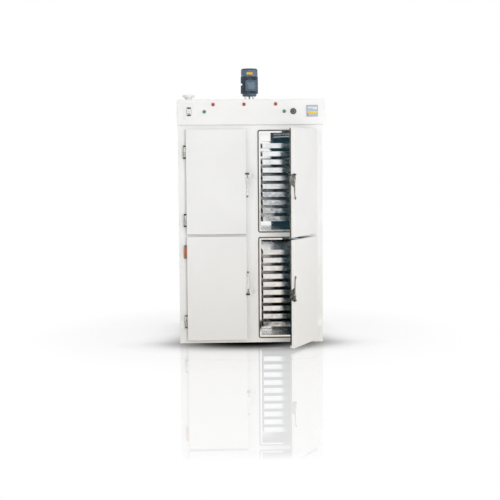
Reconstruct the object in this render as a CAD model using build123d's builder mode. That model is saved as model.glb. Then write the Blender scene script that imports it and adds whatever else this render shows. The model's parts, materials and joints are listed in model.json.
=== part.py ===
from build123d import *
import math
import os

os.makedirs("parts", exist_ok=True)

# Tray drying oven, free-standing, four insulated doors, ten trays behind each of the two right doors.
# Millimetres. X runs right, Y runs back and Z up. The origin is the centre of the base, on the floor.
# The right doors stand part open, which is the rest position of the assembly.

# Cabinet
CABINET_WIDTH = 1250
CABINET_DEPTH = 1000
CABINET_HEIGHT = 2110
SHEET = 2.0
LINER_SHEET = 1.5
FRAME_RETURN = 18
FRONT = -CABINET_DEPTH / 2
REAR = CABINET_DEPTH / 2
HALF_WIDTH = CABINET_WIDTH / 2
SIDES = {"left": -1, "right": 1}

# Doors: the free edge is towards the centre post, the hinge edge is outside
DOOR_WIDTH = 519
DOOR_HEIGHT = 904
DOOR_PROUD = 45
DOOR_GAP = 4
DOOR_DEPTH = DOOR_PROUD - DOOR_GAP
DOOR_FREE_EDGE = 38
DOOR_HINGE_EDGE = DOOR_FREE_EDGE + DOOR_WIDTH
DOOR_BASE = {"lower": 28, "upper": 953}
DOOR_OPEN = {"left": 0.0, "right": 63.0}
DOOR_SKIN = 1.5
SHELL_DEPTH = 27
PAN_INSET = 2
DOOR_LIP = 22
DOOR_CORNER = 4
PLUG_RISE = 8
PLUG_INSET = 10

# Hinges
HINGE_OFFSET = 11
HINGE_BEHIND_FACE = 11
HINGE_RADIUS = 10.5
HINGE_LENGTH = 114
HINGE_PIN_RADIUS = 5.5
HINGE_PIN_CLEARANCE = 0.05
HINGE_LEAF = 4
HINGE_GAP = 0.5
HINGE_BASES = {"upper": (65, 652), "lower": (110, 718)}

# Seal ring, liner flange and chamber opening, measured in from the door's edges
SEAL_INSET = 8
SEAL_INSET_FREE = 23
SEAL_INSET_HINGE = 14
SEAL_WIDTH = 11
SEAL_HEIGHT = 3.7
SEAL_CORNER = 20
LINER_FLANGE = 14
FREE_MARGIN = SEAL_INSET_FREE + SEAL_WIDTH + LINER_FLANGE
HINGE_MARGIN = SEAL_INSET_HINGE + SEAL_WIDTH + LINER_FLANGE
END_MARGIN = SEAL_INSET + SEAL_WIDTH + LINER_FLANGE
CHAMBER_WIDTH = DOOR_WIDTH - FREE_MARGIN - HINGE_MARGIN
CHAMBER_HEIGHT = DOOR_HEIGHT - 2 * END_MARGIN
CHAMBER_DEPTH = 920
CHAMBER_X = DOOR_FREE_EDGE + FREE_MARGIN + CHAMBER_WIDTH / 2
DUCT_DEPTH = 74

# Trays and the racks that carry them
TRAY_WIDTH = 406
TRAY_DEPTH = 812
TRAY_HEIGHT = 42
TRAY_SHEET = 1.2
TRAY_RIM = 6
TRAY_RIM_HEIGHT = 4
TRAY_COUNT = 10
TRAY_PITCH = 70.4
TRAY_FIRST = 72
TRAY_SETBACK = 20
SINGLE_TRAY = 5
TRAY_Y = FRONT + TRAY_SETBACK + TRAY_DEPTH / 2
RACK_LENGTH = 800
RACK_BAR = 3
RACK_BAR_WIDTH = 25
RACK_BAR_SPACING = 370
RUNNER_LEG = 20
RUNNER_RISE = 15
RUNNER_SHEET = 2

# Control panel housing over the doors
PANEL_WIDTH = 1270
PANEL_MIDDLE = 8
PANEL_BOTTOM = 1894
PANEL_PROUD = 46
PANEL_FACE = FRONT - PANEL_PROUD
PANEL_HEIGHT = CABINET_HEIGHT - PANEL_BOTTOM
PANEL_FOLD = 3
RED_LAMPS = ((-319, 2066), (-55, 2067), (216, 2069))
GREEN_LAMPS = ((-395, 2005), (290, 2006))
LAMP_DIAMETER = 31
LAMP_LENS = 26
LAMP_RING = 4
LAMP_DOME = 7
LAMP_BODY = 22
KNOB_PLACE = (368, 2006)
KNOB_DIAMETER = 53
CONTROLLER_PLACE = (530, 2008)
CONTROLLER_SIZE = 98
CONTROLLER_CUTOUT = 92
CONTROLLER_BEZEL = 7
CONTROLLER_SUNK = 2
BREAKER_PLACE = (-526, 2006)
BREAKER_WIDTH = 40
BREAKER_HEIGHT = 80
BREAKER_STEP = 8
BREAKER_NOSE = 9
BREAKER_CORNER = 4
BREAKER_CHAMFER = 2
BREAKER_CUTOUT = (BREAKER_WIDTH - 4, BREAKER_HEIGHT - 4)
TOGGLE_AXIS_Y = PANEL_FACE - 12
TOGGLE_ROOM = 9
TOGGLE_WIDTH = 14
TOGGLE_REACH = 21
TOGGLE_LEAN = 25
KNOB_SPINDLE = 3
KNOB_FIT = 0.05

# Fan motor on the roof and the fan chamber under it
MOTOR_PLACE = (12, -60)
MOTOR_BASE = 2155
MOTOR_RADIUS = 75
MOTOR_CORE = 62
MOTOR_FLANGE_RADIUS = 63
MOTOR_FRAME_BOTTOM = 2179
MOTOR_FRAME_TOP = 2327
MOTOR_TOP = 2401
FIN_COUNT = 30
FIN_THICKNESS = 3
SHAFT_RADIUS = 7
BEARING_CLEARANCE = 0.05
TERMINAL_BOX_TURN = 9
PLENUM_WIDTH = 1120
PLENUM_FRONT = -370
PLENUM_REAR = 430
PLENUM_BOTTOM = 1884
PLENUM_TOP = 2076
FAN_DECK = 1925
FAN_RADIUS = 160
FAN_EYE = 95
FAN_BLADES = 10
FAN_BOTTOM = 1934
FAN_HEIGHT = 78
SHAFT_HOLE_RADIUS = 30
PASSAGE_WIDTH = 300
PASSAGE_DEPTH = 50
PASSAGE_Y = FRONT + CHAMBER_DEPTH - DUCT_DEPTH / 2
TERMINAL_WIDTH = 98
TERMINAL_TALL = 94
TERMINAL_HEIGHT = 2246
TERMINAL_START = 68

# Air outlet on the roof
VENT_PLACE = (-531, -325)
VENT_RADIUS = 32.5
VENT_TOP = 2141
VENT_BRIDGE = 2100
VENT_CAP_RADIUS = 52
VENT_CAP_BOTTOM = 2139
VENT_CAP_TOP = 2158
SPINDLE_RADIUS = 5

# Cable gland in the rear panel, placed in X and Z
GLAND_PLACE = (-540, 1990)
GLAND_THREAD_RADIUS = 8
GLAND_BORE_RADIUS = 6
GLAND_INSIDE = 14
GLAND_OUTSIDE = 22

# Door latches: outward from the door's face, and up from the pivot towards the dark cap
LATCH_ALONG = HINGE_OFFSET + DOOR_WIDTH + 7
LATCH_PIVOT = {"upper": 472, "lower": 450}
LATCH_FLIP = {"upper": 1, "lower": -1}
PIVOT_OUT = 9
PIVOT_RADIUS = 3
LEVER_WIDTH = 13
CLAW_WIDTH = 9
KEEPER_RISE = 30.5


def plan(z):
    """Horizontal plane at height z, drawn in X and Y."""
    return Plane.XY.offset(z)


def elevation(y):
    """Upright plane at depth y, drawn in X and Z; a positive extrusion comes forward."""
    return Plane.XZ.offset(-y)


def rear_view(y):
    """Upright plane at depth y seen from behind: x runs left, and a positive extrusion goes back."""
    return Plane(origin=(0, y, 0), x_dir=(-1, 0, 0), z_dir=(0, 1, 0))


def chamber_floor(level):
    return DOOR_BASE[level] + END_MARGIN


def tray_heights(level):
    first = chamber_floor(level) + TRAY_FIRST
    return [first + TRAY_PITCH * i for i in range(TRAY_COUNT)]


def save_shape(shape, name):
    """Label a finished shape and write it under its own name."""
    shape.label = name
    export_step(shape, f"parts/{name}.step")


def save(piece, name):
    save_shape(piece.part, name)


# Outer cabinet


def base_pan():
    """Floor of the cabinet: a flat plate with its edges folded up inside the panels."""
    width = CABINET_WIDTH - 2 * SHEET
    depth = CABINET_DEPTH - 4 * SHEET
    fold_height = 24
    with BuildPart() as pan:
        with BuildSketch(plan(0)):
            Rectangle(width, depth)
        extrude(amount=fold_height)
        offset(amount=-SHEET, openings=pan.faces().sort_by(Axis.Z)[-1], kind=Kind.INTERSECTION)
    save(pan, "base_pan")


def side_panel(side):
    """Folded side skin with a rear return and louvres beside the control space."""
    sign = SIDES[side]
    return_width = 25
    louvre_count = 5
    louvre_pitch = 22
    louvre_length = 90
    louvre_height = 6
    louvre_place = (FRONT + 75, 2000)
    with BuildPart() as panel:
        with BuildSketch(plan(0)):
            with BuildLine():
                outer = sign * HALF_WIDTH
                inner = sign * (HALF_WIDTH - SHEET)
                Polyline(
                    (outer, FRONT + SHEET),
                    (outer, REAR - SHEET),
                    (outer - sign * return_width, REAR - SHEET),
                    (outer - sign * return_width, REAR - 2 * SHEET),
                    (inner, REAR - 2 * SHEET),
                    (inner, FRONT + SHEET),
                    close=True,
                )
            make_face()
        extrude(amount=CABINET_HEIGHT - SHEET)
        with BuildSketch(Plane.YZ.offset(sign * HALF_WIDTH)):
            with Locations(louvre_place):
                with GridLocations(0, louvre_pitch, 1, louvre_count):
                    Rectangle(louvre_length, louvre_height)
        extrude(amount=2 * SHEET, both=True, mode=Mode.SUBTRACT)
    save(panel, f"side_panel_{side}")


def rear_panel():
    """Rear skin with two pressed fields and the hole for the supply gland."""
    field_width = 1000
    field_height = 820
    field_depth = 8
    field_centres = [(0, 520), (0, 1430)]
    with BuildPart() as panel:
        with BuildSketch(rear_view(REAR - SHEET)):
            with Locations((0, (CABINET_HEIGHT - SHEET) / 2)):
                Rectangle(CABINET_WIDTH, CABINET_HEIGHT - SHEET)
        extrude(amount=SHEET)
        with BuildSketch(rear_view(REAR)):
            with Locations(*field_centres):
                Rectangle(field_width, field_height)
        extrude(amount=field_depth, taper=45)
        with BuildSketch(rear_view(REAR - SHEET)):
            with Locations(*field_centres):
                Rectangle(field_width - SHEET, field_height - SHEET)
        extrude(amount=field_depth, taper=45, mode=Mode.SUBTRACT)
        with BuildSketch(elevation(REAR)):
            with Locations(GLAND_PLACE):
                Circle(GLAND_THREAD_RADIUS)
        extrude(amount=2 * SHEET, both=True, mode=Mode.SUBTRACT)
    save(panel, "rear_panel")


def roof_panel():
    """Roof sheet with the holes for the fan shaft and the air outlet."""
    with BuildPart() as roof:
        with BuildSketch(plan(CABINET_HEIGHT - SHEET)):
            Rectangle(CABINET_WIDTH, CABINET_DEPTH)
            with Locations(MOTOR_PLACE):
                Circle(SHAFT_HOLE_RADIUS, mode=Mode.SUBTRACT)
            with Locations(VENT_PLACE):
                Circle(VENT_RADIUS, mode=Mode.SUBTRACT)
        extrude(amount=SHEET)
    save(roof, "roof_panel")


def front_frame():
    """Face of the cabinet: one sheet with four door openings and the control space above them."""
    window_width = 1180
    window_bottom = PANEL_BOTTOM + 16
    window_top = CABINET_HEIGHT - 20
    opening_width = CHAMBER_WIDTH + 2 * LINER_FLANGE
    opening_height = CHAMBER_HEIGHT + 2 * LINER_FLANGE
    openings = [(sign * CHAMBER_X, chamber_floor(level) + CHAMBER_HEIGHT / 2)
                for sign in SIDES.values() for level in DOOR_BASE]
    with BuildPart() as frame:
        with BuildSketch(elevation(FRONT)):
            with Locations((0, (CABINET_HEIGHT - SHEET) / 2)):
                Rectangle(CABINET_WIDTH, CABINET_HEIGHT - SHEET)
            with Locations((0, (window_bottom + window_top) / 2)):
                Rectangle(window_width, window_top - window_bottom, mode=Mode.SUBTRACT)
        extrude(amount=-SHEET)
        with BuildSketch(elevation(FRONT)):
            with Locations(*openings):
                Rectangle(opening_width + 2 * SHEET, opening_height + 2 * SHEET)
        extrude(amount=-FRAME_RETURN)
        with BuildSketch(elevation(FRONT)):
            with Locations(*openings):
                Rectangle(opening_width, opening_height)
        extrude(amount=-FRAME_RETURN, mode=Mode.SUBTRACT)
    save(frame, "front_frame")


def door_seals():
    """Four rubber rings on the frame, one round each opening."""
    outer_width = CHAMBER_WIDTH + 2 * (LINER_FLANGE + SEAL_WIDTH)
    outer_height = CHAMBER_HEIGHT + 2 * (LINER_FLANGE + SEAL_WIDTH)
    centres = [(sign * CHAMBER_X, chamber_floor(level) + CHAMBER_HEIGHT / 2)
               for sign in SIDES.values() for level in DOOR_BASE]
    with BuildPart() as seals:
        with BuildSketch(elevation(FRONT)):
            with Locations(*centres):
                RectangleRounded(outer_width, outer_height, SEAL_CORNER)
                RectangleRounded(
                    outer_width - 2 * SEAL_WIDTH,
                    outer_height - 2 * SEAL_WIDTH,
                    SEAL_CORNER - SEAL_WIDTH,
                    mode=Mode.SUBTRACT,
                )
        extrude(amount=SEAL_HEIGHT)
    save(seals, "door_seals")


# Chambers, racks and trays


def chamber_liner(side, level):
    """Polished inner box with a front flange and air passages behind the rear baffle."""
    centre_x = SIDES[side] * CHAMBER_X
    centre_z = chamber_floor(level) + CHAMBER_HEIGHT / 2
    passage_reach = CHAMBER_HEIGHT / 2 + 2 * LINER_SHEET
    with BuildPart() as liner:
        with BuildSketch(elevation(FRONT)):
            with Locations((centre_x, centre_z)):
                Rectangle(CHAMBER_WIDTH + 2 * LINER_SHEET, CHAMBER_HEIGHT + 2 * LINER_SHEET)
        extrude(amount=-CHAMBER_DEPTH - LINER_SHEET)
        mouth = liner.faces().sort_by(Axis.Y)[0]
        offset(amount=-LINER_SHEET, openings=mouth, kind=Kind.INTERSECTION)
        with BuildSketch(elevation(FRONT)):
            with Locations((centre_x, centre_z)):
                Rectangle(CHAMBER_WIDTH + 2 * LINER_FLANGE, CHAMBER_HEIGHT + 2 * LINER_FLANGE)
                Rectangle(CHAMBER_WIDTH, CHAMBER_HEIGHT, mode=Mode.SUBTRACT)
        extrude(amount=-LINER_SHEET)
        with BuildSketch(plan(centre_z)):
            with Locations((centre_x, PASSAGE_Y)):
                Rectangle(PASSAGE_WIDTH, PASSAGE_DEPTH)
        if level == "upper":
            extrude(amount=passage_reach, both=True, mode=Mode.SUBTRACT)
        else:
            extrude(amount=passage_reach, mode=Mode.SUBTRACT)
    save(liner, f"liner_{level}_{side}")


def air_baffles():
    """Slotted rear walls: each slot blows along one tray."""
    slot_width = 330
    slot_height = 12
    slot_under_next_tray = 10
    baffle_y = FRONT + CHAMBER_DEPTH - DUCT_DEPTH
    with BuildPart() as baffles:
        for sign in SIDES.values():
            for level in DOOR_BASE:
                centre_x = sign * CHAMBER_X
                centre_z = chamber_floor(level) + CHAMBER_HEIGHT / 2
                heights = [z + TRAY_PITCH - slot_under_next_tray for z in tray_heights(level)]
                slots = [(centre_x, z) for z in heights]
                with BuildSketch(elevation(baffle_y)):
                    with Locations((centre_x, centre_z)):
                        Rectangle(CHAMBER_WIDTH, CHAMBER_HEIGHT)
                    with Locations(*slots):
                        Rectangle(slot_width, slot_height, mode=Mode.SUBTRACT)
                extrude(amount=-LINER_SHEET)
    save(baffles, "air_baffles")


def rack_side():
    """Bars of one side of a rack, for a wall on its left: three uprights and ten angle runners."""
    end_gap = 2
    with BuildPart() as uprights:
        with BuildSketch(plan(end_gap)):
            with Locations((RACK_BAR / 2, 0)):
                with GridLocations(0, RACK_BAR_SPACING, 1, 3):
                    Rectangle(RACK_BAR, RACK_BAR_WIDTH)
        extrude(amount=CHAMBER_HEIGHT - 2 * end_gap)
    with BuildPart() as runners:
        with BuildSketch(Plane.XZ.offset(-RACK_LENGTH / 2)):
            for i in range(TRAY_COUNT):
                height = TRAY_FIRST + TRAY_PITCH * i
                with Locations((RACK_BAR, height)):
                    Rectangle(RUNNER_SHEET, RUNNER_RISE, align=(Align.MIN, Align.MIN))
                    Rectangle(RUNNER_LEG, RUNNER_SHEET, align=(Align.MIN, Align.MAX))
        extrude(amount=RACK_LENGTH)
    return [*uprights.part.solids(), *runners.part.solids()]


def tray_racks(side):
    """The four rack sides of one column of chambers, angle runners spot-welded to flat uprights."""
    half = CHAMBER_WIDTH / 2
    centre_x = SIDES[side] * CHAMBER_X
    bars = rack_side()
    racks = []
    for level in DOOR_BASE:
        floor = chamber_floor(level)
        left_wall = Location((centre_x - half, TRAY_Y, floor))
        right_wall = Location((centre_x + half, TRAY_Y, floor), (0, 0, 180))
        racks += [bar.moved(place) for place in (left_wall, right_wall) for bar in bars]
    save_shape(Compound(racks), f"tray_racks_{side}")


def tray_blank():
    """One folded tray with a hemmed rim, standing on z = 0."""
    pan_width = TRAY_WIDTH - 2 * TRAY_RIM
    pan_depth = TRAY_DEPTH - 2 * TRAY_RIM
    with BuildPart() as tray:
        with BuildSketch():
            Rectangle(pan_width, pan_depth)
        extrude(amount=TRAY_HEIGHT)
        top = tray.faces().sort_by(Axis.Z)[-1]
        offset(amount=-TRAY_SHEET, openings=top, kind=Kind.INTERSECTION)
        with BuildSketch(plan(TRAY_HEIGHT - TRAY_RIM_HEIGHT)):
            Rectangle(TRAY_WIDTH, TRAY_DEPTH)
            Rectangle(pan_width, pan_depth, mode=Mode.SUBTRACT)
        extrude(amount=TRAY_RIM_HEIGHT)
    return tray.part


def trays(level):
    """The trays of one right chamber: one that slides by itself, and the rest of the set."""
    blank = tray_blank()
    heights = tray_heights(level)
    with BuildPart() as single:
        with Locations((CHAMBER_X, TRAY_Y, heights[SINGLE_TRAY])):
            add(blank)
    save(single, f"single_tray_{level}")
    rest = [(CHAMBER_X, TRAY_Y, z) for i, z in enumerate(heights) if i != SINGLE_TRAY]
    with BuildPart() as group:
        with Locations(*rest):
            add(blank)
    save(group, f"trays_{level}")


def insulation():
    """Mineral wool that fills the space between the liners and the outer panels."""
    liner_inner = CHAMBER_X - CHAMBER_WIDTH / 2 - LINER_SHEET
    liner_outer = CHAMBER_X + CHAMBER_WIDTH / 2 + LINER_SHEET
    skin_inner = HALF_WIDTH - 2 * SHEET
    front_y = FRONT + FRAME_RETURN + SHEET
    back_y = FRONT + CHAMBER_DEPTH + LINER_SHEET
    rear_y = REAR - 3 * SHEET
    liner_height = CHAMBER_HEIGHT + 2 * LINER_SHEET
    low = {level: chamber_floor(level) - LINER_SHEET for level in DOOR_BASE}
    slabs = (
        (SHEET, low["lower"], False),
        (low["lower"] + liner_height, low["upper"], True),
        (low["upper"] + liner_height, PLENUM_BOTTOM, True),
    )
    with BuildPart() as wool:
        with BuildSketch(plan(SHEET)):
            with Locations((0, (front_y + back_y) / 2)):
                Rectangle(2 * liner_inner, back_y - front_y)
            with Locations((0, (back_y + rear_y) / 2)):
                Rectangle(2 * skin_inner, rear_y - back_y)
            for sign in SIDES.values():
                with Locations((sign * (liner_outer + skin_inner) / 2, (front_y + back_y) / 2)):
                    Rectangle(skin_inner - liner_outer, back_y - front_y)
        extrude(amount=PLENUM_BOTTOM - SHEET)
        for sign in SIDES.values():
            for bottom, top, has_passage in slabs:
                with BuildSketch(plan(bottom)):
                    with Locations((sign * CHAMBER_X, (front_y + back_y) / 2)):
                        Rectangle(liner_outer - liner_inner, back_y - front_y)
                    if has_passage:
                        with Locations((sign * CHAMBER_X, PASSAGE_Y)):
                            Rectangle(PASSAGE_WIDTH, PASSAGE_DEPTH, mode=Mode.SUBTRACT)
                extrude(amount=top - bottom)
        with BuildSketch(plan(PLENUM_TOP)):
            with Locations((0, (PLENUM_FRONT + PLENUM_REAR) / 2)):
                Rectangle(PLENUM_WIDTH, PLENUM_REAR - PLENUM_FRONT)
            with Locations(MOTOR_PLACE):
                Circle(SHAFT_HOLE_RADIUS, mode=Mode.SUBTRACT)
            with Locations(VENT_PLACE):
                Circle(VENT_RADIUS, mode=Mode.SUBTRACT)
        extrude(amount=CABINET_HEIGHT - SHEET - PLENUM_TOP)
    save(wool, "insulation")


# Air system


def fan_housing():
    """Fan chamber: a closed sheet box with a deck that carries the inlet of the fan wheel."""
    depth = PLENUM_REAR - PLENUM_FRONT
    middle = (PLENUM_REAR + PLENUM_FRONT) / 2
    divider_y = 320
    passages = [(sign * CHAMBER_X, PASSAGE_Y) for sign in SIDES.values()]
    with BuildPart() as housing:
        with BuildSketch(plan(PLENUM_BOTTOM)):
            with Locations((0, middle)):
                Rectangle(PLENUM_WIDTH, depth)
        extrude(amount=PLENUM_TOP - PLENUM_BOTTOM)
        with BuildSketch(plan(PLENUM_BOTTOM + LINER_SHEET)):
            with Locations((0, middle)):
                Rectangle(PLENUM_WIDTH - 2 * LINER_SHEET, depth - 2 * LINER_SHEET)
        extrude(amount=PLENUM_TOP - PLENUM_BOTTOM - 2 * LINER_SHEET, mode=Mode.SUBTRACT)
        with BuildSketch(plan(FAN_DECK)):
            with Locations((0, (PLENUM_FRONT + divider_y) / 2)):
                Rectangle(PLENUM_WIDTH, divider_y - PLENUM_FRONT)
            with Locations(MOTOR_PLACE):
                Circle(FAN_EYE, mode=Mode.SUBTRACT)
        extrude(amount=LINER_SHEET)
        with BuildSketch(plan(PLENUM_BOTTOM)):
            with Locations((0, divider_y)):
                Rectangle(PLENUM_WIDTH, LINER_SHEET)
        extrude(amount=FAN_DECK - PLENUM_BOTTOM + LINER_SHEET)
        with BuildSketch(plan(PLENUM_BOTTOM)):
            with Locations(*passages):
                Rectangle(PASSAGE_WIDTH, PASSAGE_DEPTH)
        extrude(amount=LINER_SHEET, mode=Mode.SUBTRACT)
        with BuildSketch(plan(PLENUM_TOP)):
            with Locations(MOTOR_PLACE):
                Circle(SHAFT_HOLE_RADIUS)
            with Locations(VENT_PLACE):
                Circle(VENT_RADIUS)
        extrude(amount=-LINER_SHEET, mode=Mode.SUBTRACT)
    save(housing, "fan_housing")


def heater_elements():
    """Hairpin tube heaters on both sides of the fan wheel."""
    tube_radius = 5
    leg_spacing = 60
    hairpin_places = (230, 400)
    hairpin_reach = 560
    height = 1985
    start_y = PLENUM_FRONT + LINER_SHEET
    with BuildPart() as heaters:
        for sign in SIDES.values():
            for place in hairpin_places:
                near = (sign * place, start_y, height)
                near_end = (sign * place, start_y + hairpin_reach, height)
                far_end = (sign * (place + leg_spacing), start_y + hairpin_reach, height)
                far = (sign * (place + leg_spacing), start_y, height)
                turn = (sign * (place + leg_spacing / 2), start_y + hairpin_reach + leg_spacing / 2, height)
                with BuildLine():
                    Line(near, near_end)
                    ThreePointArc(near_end, turn, far_end)
                    Line(far_end, far)
                with BuildSketch(Plane(origin=near, z_dir=(0, 1, 0))):
                    Circle(tube_radius)
                sweep()
    save(heaters, "heater_elements")


def impeller():
    """Centrifugal wheel: back plate with hub, ten backward-curved blades and an inlet shroud."""
    hub_radius = 22
    hub_height = 26
    blade_thickness = 2.5
    blade_inner = FAN_EYE + 4
    blade_outer = FAN_RADIUS - 3
    lean = math.radians(38)
    middle_lean = lean / 2.4
    middle_radius = (blade_inner + blade_outer) / 2 + 5
    top = FAN_BOTTOM + FAN_HEIGHT
    with BuildSketch(Plane.XY, mode=Mode.PRIVATE) as blade:
        with BuildLine():
            ThreePointArc(
                (blade_inner, 0),
                (middle_radius * math.cos(middle_lean), middle_radius * math.sin(middle_lean)),
                (blade_outer * math.cos(lean), blade_outer * math.sin(lean)),
            )
        trace(line_width=blade_thickness)
    with BuildPart() as wheel:
        with BuildSketch(plan(FAN_BOTTOM)):
            with Locations(MOTOR_PLACE):
                Circle(FAN_RADIUS)
                Circle(FAN_EYE, mode=Mode.SUBTRACT)
        extrude(amount=SHEET)
        with BuildSketch(plan(top - SHEET)):
            with Locations(MOTOR_PLACE):
                Circle(FAN_RADIUS)
        extrude(amount=SHEET)
        with BuildSketch(plan(top)):
            with Locations(MOTOR_PLACE):
                Circle(hub_radius)
        extrude(amount=hub_height)
        with BuildSketch(plan(FAN_BOTTOM + SHEET)):
            with Locations(MOTOR_PLACE):
                with PolarLocations(0, FAN_BLADES):
                    add(blade.sketch)
        extrude(amount=FAN_HEIGHT - 2 * SHEET)
        with BuildSketch(plan(top - SHEET)):
            with Locations(MOTOR_PLACE):
                Circle(SHAFT_RADIUS)
        extrude(amount=hub_height + SHEET, mode=Mode.SUBTRACT)
    save(wheel, "impeller")


def motor_shaft():
    """Long motor shaft, from the cooling fan at the top down to the fan wheel."""
    shoulder = 3
    shoulder_gap = 2
    below_cowl = 28
    bottom = FAN_BOTTOM + FAN_HEIGHT - SHEET
    top = MOTOR_TOP - below_cowl
    shoulder_bottom = MOTOR_FRAME_BOTTOM + shoulder_gap
    shoulder_top = MOTOR_FRAME_TOP - shoulder_gap
    with BuildPart() as shaft:
        with BuildSketch(plan(bottom)):
            with Locations(MOTOR_PLACE):
                Circle(SHAFT_RADIUS)
        extrude(amount=top - bottom)
        with BuildSketch(plan(shoulder_bottom)):
            with Locations(MOTOR_PLACE):
                Circle(SHAFT_RADIUS + shoulder)
        extrude(amount=shoulder_top - shoulder_bottom)
    save(shaft, "motor_shaft")


def cooling_fan():
    """Radial fan of the motor, under the cowl."""
    hub_radius = 15
    disc_radius = 60
    disc_bottom = MOTOR_FRAME_TOP + 20
    blade_height = 22
    blade_count = 8
    blade_root = 2
    blade_length = disc_radius - hub_radius + 2 * blade_root
    with BuildPart() as fan:
        with BuildSketch(plan(disc_bottom)):
            with Locations(MOTOR_PLACE):
                Circle(disc_radius)
        extrude(amount=SHEET)
        with BuildSketch(plan(disc_bottom + SHEET)):
            with Locations(MOTOR_PLACE):
                Circle(hub_radius)
                with PolarLocations((hub_radius + disc_radius) / 2 - blade_root, blade_count):
                    Rectangle(blade_length, SHEET)
        extrude(amount=blade_height)
        with BuildSketch(plan(disc_bottom)):
            with Locations(MOTOR_PLACE):
                Circle(SHAFT_RADIUS)
        extrude(amount=blade_height + SHEET, mode=Mode.SUBTRACT)
    save(fan, "cooling_fan")


def motor_stand():
    """Square plate on the roof with four posts that lift the motor clear of the heat."""
    plate_size = 190
    plate_thickness = 6
    plate_corner = 10
    post_radius = 8
    post_circle = 50
    with BuildPart() as stand:
        with BuildSketch(plan(CABINET_HEIGHT)):
            with Locations(MOTOR_PLACE):
                RectangleRounded(plate_size, plate_size, plate_corner)
                Circle(SHAFT_HOLE_RADIUS, mode=Mode.SUBTRACT)
        extrude(amount=plate_thickness)
        with BuildSketch(plan(CABINET_HEIGHT + plate_thickness)):
            with Locations(MOTOR_PLACE):
                with PolarLocations(post_circle, 4, start_angle=45):
                    Circle(post_radius)
        extrude(amount=MOTOR_BASE - CABINET_HEIGHT - plate_thickness)
    save(stand, "motor_stand")


def motor_end_shields():
    """Lower flange and upper shield, each with the bearing bore of the shaft."""
    chamfer_size = 5
    bore = SHAFT_RADIUS + BEARING_CLEARANCE
    upper_radius = 69
    upper_height = 12
    with BuildPart() as shields:
        with BuildSketch(plan(MOTOR_BASE)):
            with Locations(MOTOR_PLACE):
                Circle(MOTOR_FLANGE_RADIUS)
        extrude(amount=MOTOR_FRAME_BOTTOM - MOTOR_BASE)
        rim = shields.edges().filter_by(GeomType.CIRCLE).sort_by(Axis.Z)[0]
        chamfer(rim, length=chamfer_size)
        with BuildSketch(plan(MOTOR_FRAME_TOP)):
            with Locations(MOTOR_PLACE):
                Circle(upper_radius)
        extrude(amount=upper_height)
        with BuildSketch(plan(MOTOR_BASE)):
            with Locations(MOTOR_PLACE):
                Circle(bore)
        extrude(amount=MOTOR_FRAME_TOP + upper_height - MOTOR_BASE, mode=Mode.SUBTRACT)
    save(shields, "motor_end_shields")


def terminal_plane(radius, height):
    """Upright plane on the motor's front, turned a little to the right."""
    turn = math.radians(TERMINAL_BOX_TURN)
    outward = (math.sin(turn), -math.cos(turn), 0)
    along = (math.cos(turn), math.sin(turn), 0)
    origin = (MOTOR_PLACE[0] + outward[0] * radius, MOTOR_PLACE[1] + outward[1] * radius, height)
    return Plane(origin=origin, x_dir=along, z_dir=outward)


def motor_frame():
    """Finned stator frame with the flat pad of the terminal box and a lug gap in the left fins."""
    bore = 26
    fin_height = MOTOR_FRAME_TOP - MOTOR_FRAME_BOTTOM
    fin_root = 2
    fin_length = MOTOR_RADIUS - MOTOR_CORE + 2 * fin_root
    pad_gap = 1
    gap_height = 18
    gap_middle = 2262
    with BuildPart() as frame:
        with BuildSketch(plan(MOTOR_FRAME_BOTTOM)):
            with Locations(MOTOR_PLACE):
                Circle(MOTOR_CORE)
                with PolarLocations((MOTOR_CORE + MOTOR_RADIUS) / 2, FIN_COUNT):
                    Rectangle(fin_length, FIN_THICKNESS)
        extrude(amount=fin_height)
        with BuildSketch(terminal_plane(0, TERMINAL_HEIGHT)):
            Rectangle(TERMINAL_WIDTH, TERMINAL_TALL)
        extrude(amount=TERMINAL_START)
        with BuildSketch(terminal_plane(TERMINAL_START, TERMINAL_HEIGHT)):
            Rectangle(TERMINAL_WIDTH + 2 * pad_gap, TERMINAL_TALL + 2 * pad_gap)
        extrude(amount=MOTOR_RADIUS, mode=Mode.SUBTRACT)
        with BuildSketch(plan(gap_middle - gap_height / 2)):
            with Locations((MOTOR_PLACE[0] - MOTOR_RADIUS, MOTOR_PLACE[1])):
                Rectangle(2 * (MOTOR_RADIUS - MOTOR_CORE), 2 * MOTOR_CORE)
        extrude(amount=gap_height, mode=Mode.SUBTRACT)
        with BuildSketch(plan(MOTOR_FRAME_BOTTOM)):
            with Locations(MOTOR_PLACE):
                Circle(bore)
        extrude(amount=fin_height, mode=Mode.SUBTRACT)
    save(frame, "motor_frame")


def terminal_box():
    """Cast terminal box with its lid and a plugged cable entry."""
    box_depth = 20
    lid_depth = 7
    lid_overlap = 2
    lid_chamfer = 3
    corner = 9
    with BuildPart() as box:
        with BuildSketch(terminal_plane(TERMINAL_START, TERMINAL_HEIGHT)):
            RectangleRounded(TERMINAL_WIDTH, TERMINAL_TALL, corner)
        extrude(amount=box_depth)
        with BuildSketch(terminal_plane(TERMINAL_START + box_depth, TERMINAL_HEIGHT)):
            RectangleRounded(TERMINAL_WIDTH + 2 * lid_overlap, TERMINAL_TALL + 2 * lid_overlap, corner)
        extrude(amount=lid_depth)
        outward = terminal_plane(TERMINAL_START, TERMINAL_HEIGHT)
        lid_face = box.faces().sort_by(Axis(outward.origin, outward.z_dir))[-1]
        chamfer(lid_face.edges(), length=lid_chamfer)
    save(box, "terminal_box")


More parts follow.
